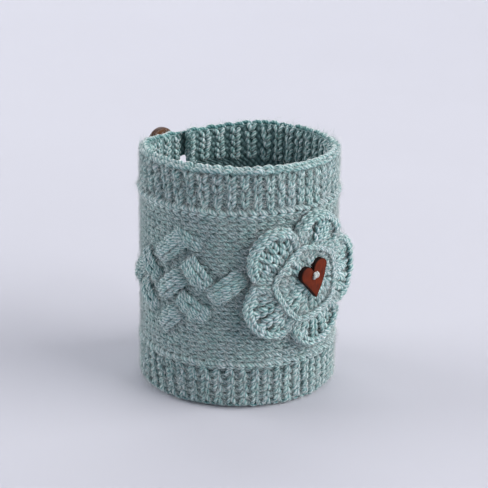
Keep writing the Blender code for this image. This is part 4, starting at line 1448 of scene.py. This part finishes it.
class COSY_OT_sew_heart(bpy.types.Operator):
    """Cut the wooden heart and sew it on with its thread"""

    bl_idname = "cosy.sew_heart"
    bl_label = "Sew Heart"

    def execute(self, context):
        trims = context.scene.cosy_trims
        outline = heart_outline()
        turns = np.linspace(0, math.pi / 2, 5)
        steps = [(HEART_BEVEL * (1 - math.sin(a)), HEART_BEVEL * (1 - math.cos(a))) for a in turns]
        steps += [(depth, HEART_THICKNESS - level) for depth, level in reversed(steps)]
        points = [(x, y, level) for depth, level in steps for x, y in drawn_in(outline, depth)]
        mesh = cut_blank("heart_cut", points, len(outline))
        heart = new_object("heart_face", mesh)
        punch(heart, HEART_HOLE_RADIUS, 40, *HEART_HOLE)
        wood = (stained_wood, trims.heart, trims.scorch, 0.7, 0.0)
        place = facing_out(HEART_ALONG / FLOWER_WRAP_RADIUS, HEART_SEAT, HEART_UP, -HEART_TURN)
        finish_wood(heart, material_of("hardwood_laser_cut_waxed", *wood), heart_rim, place)
        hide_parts("heart_button")
        hand = np.random.default_rng(context.scene.cosy_yarn.seed + 6)
        share = np.linspace(-1, 1, 9)
        level = HEART_THICKNESS + 0.00085 - 0.0030 * np.abs(share) ** 4
        paths = []
        for slip in (-0.0011, 0.0, 0.0011):
            across = HEART_HOLE[0] + slip * (1 - 0.35 * share**2) + 0.0007 * share
            paths.append(stacked(across, HEART_HOLE[1] + share * 0.0016, level))
        thread = sew_loops("heart_thread_loops", hand, paths, 0.00084, 0.8, place)
        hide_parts("heart_thread")
        return {"FINISHED"}


def tab_around(share):
    """Angle at a share of the way along the tab."""
    return TAB_START + (TAB_END - TAB_START) * share


def tab_narrow(share, length, half):
    """Width at a share of the way along the tab, whose ends are round, as a share of the whole."""
    from_end = np.clip(np.minimum(share, 1 - share) * length / half, 0, 1)
    return TAB_TIP + (1 - TAB_TIP) * np.sqrt(1 - (1 - from_end) ** 2)


def tab_thick(narrow):
    """Thickness of the tab, which thins towards its ends."""
    return TAB_THICKNESS * (0.45 + 0.55 * narrow)


class COSY_OT_sew_tab(bpy.types.Operator):
    """Knit the closing tab and sew the round button on it"""

    bl_idname = "cosy.sew_tab"
    bl_label = "Sew Tab"

    def execute(self, context):
        yarn, trims = context.scene.cosy_yarn, context.scene.cosy_trims
        hand = np.random.default_rng(yarn.seed + 7)
        half, middle = (TAB_HIGH - TAB_LOW) / 2, (TAB_HIGH + TAB_LOW) / 2
        length = (TAB_END - TAB_START) * TAB_SEAT
        shares = np.linspace(0.02, 0.98, 31)
        around, narrow = tab_around(shares), tab_narrow(shares, length, half)
        parts = []
        for chain in (-1, 0, 1):
            rise = tab_thick(narrow) - 0.0009 - 0.0004 * abs(chain)
            path = on_sleeve(around, TAB_SEAT + rise, middle + chain * half * narrow * 0.62)
            normal = on_sleeve(around, 1.0, 0.0)
            radius = 0.95 * yarn.radius
            parts.append(lay_chain(hand, path, normal, yarn.stitch_pitch, 0.0045, radius))
        turn = np.linspace(0, FULL_TURN, 61)[:-1]
        reach = length / 2 - 0.0012
        across = reach * np.clip(1.25 * np.cos(turn), -1, 1)
        above = np.sin(turn) * (half - 0.0010)
        around = (TAB_START + TAB_END) / 2 + across / TAB_SEAT
        loop = on_sleeve(around, TAB_SEAT + 0.0013, middle + above)
        outward = on_sleeve(around, 1.0, 0.0)
        ahead = unit(on_sleeve(around + 0.0001 * np.sign(across), 1.0, 0.0) - outward)
        normal = outward * 0.8 + ahead * (np.abs(across / reach) ** 8)[:, None] * 0.6
        normal = unit(normal + stacked(0, 0, above / half * 0.8))
        radius = 0.9 * yarn.radius
        parts.append(lay_chain(hand, loop, normal, yarn.stitch_pitch, 0.0030, radius, closed=True))
        mesh = yarn_mesh("tab_stitches", joined(parts), as_it_is)
        stitches = new_object("tab_stitches", mesh, wool())
        side = np.linspace(-1, 1, 17)
        dome = TAB_EDGE + (1 - TAB_EDGE) * np.sqrt(np.clip(1 - side**6, 0, 1))
        rows = []
        for share in np.linspace(0, 1, 25):
            narrow = tab_narrow(share, length, half)
            face = TAB_SEAT + tab_thick(narrow) * dome - 0.0013
            radius = np.concatenate([face, np.full(17, TAB_SEAT + 0.0001)])
            up = middle + half * narrow * 0.92 * np.concatenate([side, side[::-1] * 0.9])
            rows.append(on_sleeve(tab_around(share), radius, up))
        rows = np.array(rows)
        count, columns = rows.shape[:2]
        ends = [
            (at + k, at + k + 1, at + columns - 2 - k, at + columns - 1 - k)
            for at in (0, (count - 1) * columns)
            for k in range(columns // 2 - 1)
        ]
        quads = np.concatenate([ring_quads(count, columns), ends])
        mesh = quad_mesh("tab_ground", rows, quads, flower_place(rows.reshape(-1, 3)[quads]))
        face_out(mesh)
        tab = new_object("tab_ground", mesh, ground_wool())
        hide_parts("closure_tab")
        self.button(trims)
        self.thread(hand)
        return {"FINISHED"}

    def button(self, trims):
        """The turned button with its dished face, worn rim and two holes."""
        edge, half = BUTTON_EDGE, BUTTON_THICKNESS / 2
        profile = [(0.0050, 0.0), (BUTTON_RADIUS - edge, 0.0)]
        for a in np.linspace(-math.pi / 2, math.pi / 2, 11):
            level = half + math.copysign(half - edge, a) + edge * math.sin(a)
            profile.append((BUTTON_RADIUS - edge + edge * math.cos(a), level))
        for a in np.linspace(0.1, 1, 6):
            reach = BUTTON_RIM_RADIUS + (BUTTON_DISH_RADIUS - BUTTON_RIM_RADIUS) * a
            profile.append((reach, BUTTON_THICKNESS - BUTTON_DISH * float(ease(a))))
        profile.append((0.0045, BUTTON_THICKNESS - BUTTON_DISH))
        turns = FULL_TURN * np.arange(72) / 72
        points = np.concatenate([polar(reach, turns, level) for reach, level in profile])
        button = new_object("round_button", cut_blank("button_turned", points, 72))
        for side in (-1, 1):
            punch(button, BUTTON_HOLE_RADIUS, 28, side * BUTTON_HOLE_REACH, 0.0)
        wood = (stained_wood, trims.button, linear("#24140C"), 0.4, 0.3)
        place = facing_out(BUTTON_AROUND, BUTTON_SEAT, BUTTON_UP, 0.0)
        finish_wood(button, material_of("beech_turned_waxed", *wood), button_rim, place)
        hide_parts("back_button")

    def thread(self, hand):
        """The thread across the round button's face, from hole to hole."""
        share = np.linspace(-1, 1, 17)
        across = (BUTTON_HOLE_REACH + 0.0002) * np.clip(1.12 * share, -1, 1)
        level = BUTTON_THICKNESS - BUTTON_DISH + 0.00085
        level = level - 0.0032 * ease((np.abs(share) - 0.72) / 0.28)
        paths = [stacked(across, slip + 0.0002 * share, level) for slip in (-0.0006, 0.0006)]
        place = facing_out(BUTTON_AROUND, BUTTON_SEAT, BUTTON_UP, 0.0)
        thread = sew_loops("back_thread_loops", hand, paths, 0.00062, 0.85, place)
        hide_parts("back_thread")


class COSY_OT_set_stage(bpy.types.Operator):
    """Set the floor, the lights and the camera"""

    bl_idname = "cosy.set_stage"
    bl_label = "Set Stage"

    def execute(self, context):
        self.sweep()
        for lamp in LAMPS:
            self.lamp(lamp)
        world = bpy.data.worlds.new("pale_room")
        context.scene.world = world
        world.use_nodes = True
        background = world.node_tree.nodes["Background"]
        background.inputs[0].default_value = rgba(linear("#E0E1E7"))
        background.inputs[1].default_value = 0.39
        context.scene.view_settings.view_transform = "Standard"
        camera = linked("camera", bpy.data.cameras.new("camera"))
        camera.data.sensor_width = SENSOR_MM
        camera.data.lens = FOCAL_PIXELS / PHOTO_PIXELS * SENSOR_MM
        camera.data.clip_end = 30.0
        place = Matrix.Translation(CAMERA_PLACE)
        for degrees, axis in CAMERA_TURNS:
            place = place @ Matrix.Rotation(math.radians(degrees), 4, axis)
        camera.matrix_world = place
        context.scene.camera = camera
        return {"FINISHED"}

    def sweep(self):
        """Floor that curves up into a backdrop, the same whichever way it is seen from."""
        profile = [(0.0, 0.0), (FLOOR_REACH, 0.0)]
        for a in np.linspace(0, math.pi / 2, 13)[1:]:
            reach = FLOOR_REACH + SWEEP_RADIUS * math.sin(a)
            profile.append((reach, SWEEP_RADIUS * (1 - math.cos(a))))
        profile.append((FLOOR_REACH + SWEEP_RADIUS, SWEEP_HEIGHT))
        turns = FULL_TURN * np.arange(72) / 72
        rows = np.array([on_sleeve(turns, max(reach, 0.001), up) for reach, up in profile])
        mesh = quad_mesh("floor", rows, ring_quads(len(profile), 72)[:, [0, 3, 2, 1]])
        colour = linear("#C2C3CB")
        mesh.materials.append(material_of("painted_board", painted_board, colour))
        floor = linked("floor", mesh)
        floor.location = (0.0, 0.0, -0.0001)

    def lamp(self, lamp):
        """A soft square light that faces its target."""
        light = bpy.data.lights.new(lamp.name, "AREA")
        light.shape = "SQUARE"
        light.size = lamp.size
        light.energy = lamp.watts
        light.color = linear(lamp.colour)
        stand = linked(lamp.name, light)
        stand.location = lamp.place
        aim = Vector(lamp.target) - Vector(lamp.place)
        stand.rotation_euler = aim.to_track_quat("-Z", "Y").to_euler()


class COSY_OT_declare_sleeve(bpy.types.Operator):
    bl_idname = "cosy.declare_sleeve"
    bl_label = "Declare Sleeve"

    def execute(self, context):
        names = ["panel_stitches_left", "panel_stitches_right", "cable_stitches", "hem_rib", "top_rib"]
        names += ["top_rib_wrong_side", "edge_chains"]
        return {"FINISHED"}


STEPS = (
    COSY_OT_knit_ground,
    COSY_OT_knit_panel,
    COSY_OT_work_cables,
    COSY_OT_knit_bands,
    COSY_OT_finish_edges,
    COSY_OT_crochet_flower,
    COSY_OT_brush_halo,
    COSY_OT_sew_heart,
    COSY_OT_sew_tab,
    COSY_OT_declare_sleeve,
    COSY_OT_set_stage,
)


class COSY_PT_making(bpy.types.Panel):
    """The making of the cosy, step by step"""

    bl_idname = "COSY_PT_making"
    bl_label = "Sleeve Cosy"
    bl_space_type = "VIEW_3D"
    bl_region_type = "UI"
    bl_category = "Cosy"

    def draw(self, context):
        for group in (context.scene.cosy_yarn, context.scene.cosy_trims):
            box = self.layout.box()
            for name in group.__annotations__:
                box.prop(group, name)
        column = self.layout.column(align=True)
        for step in STEPS:
            column.operator(step.bl_idname)


def register():
    for part in (CosyYarn, CosyTrims, *STEPS, COSY_PT_making):
        bpy.utils.register_class(part)
    bpy.types.Scene.cosy_yarn = PointerProperty(type=CosyYarn)
    bpy.types.Scene.cosy_trims = PointerProperty(type=CosyTrims)


def unregister():
    del bpy.types.Scene.cosy_trims
    del bpy.types.Scene.cosy_yarn
    for part in reversed((CosyYarn, CosyTrims, *STEPS, COSY_PT_making)):
        bpy.utils.unregister_class(part)


def main():
    """Register the add-on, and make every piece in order."""
    register()
    for step in STEPS:
        group, name = step.bl_idname.split(".")
        getattr(getattr(bpy.ops, group), name)()


if __name__ == "__main__":
    main()
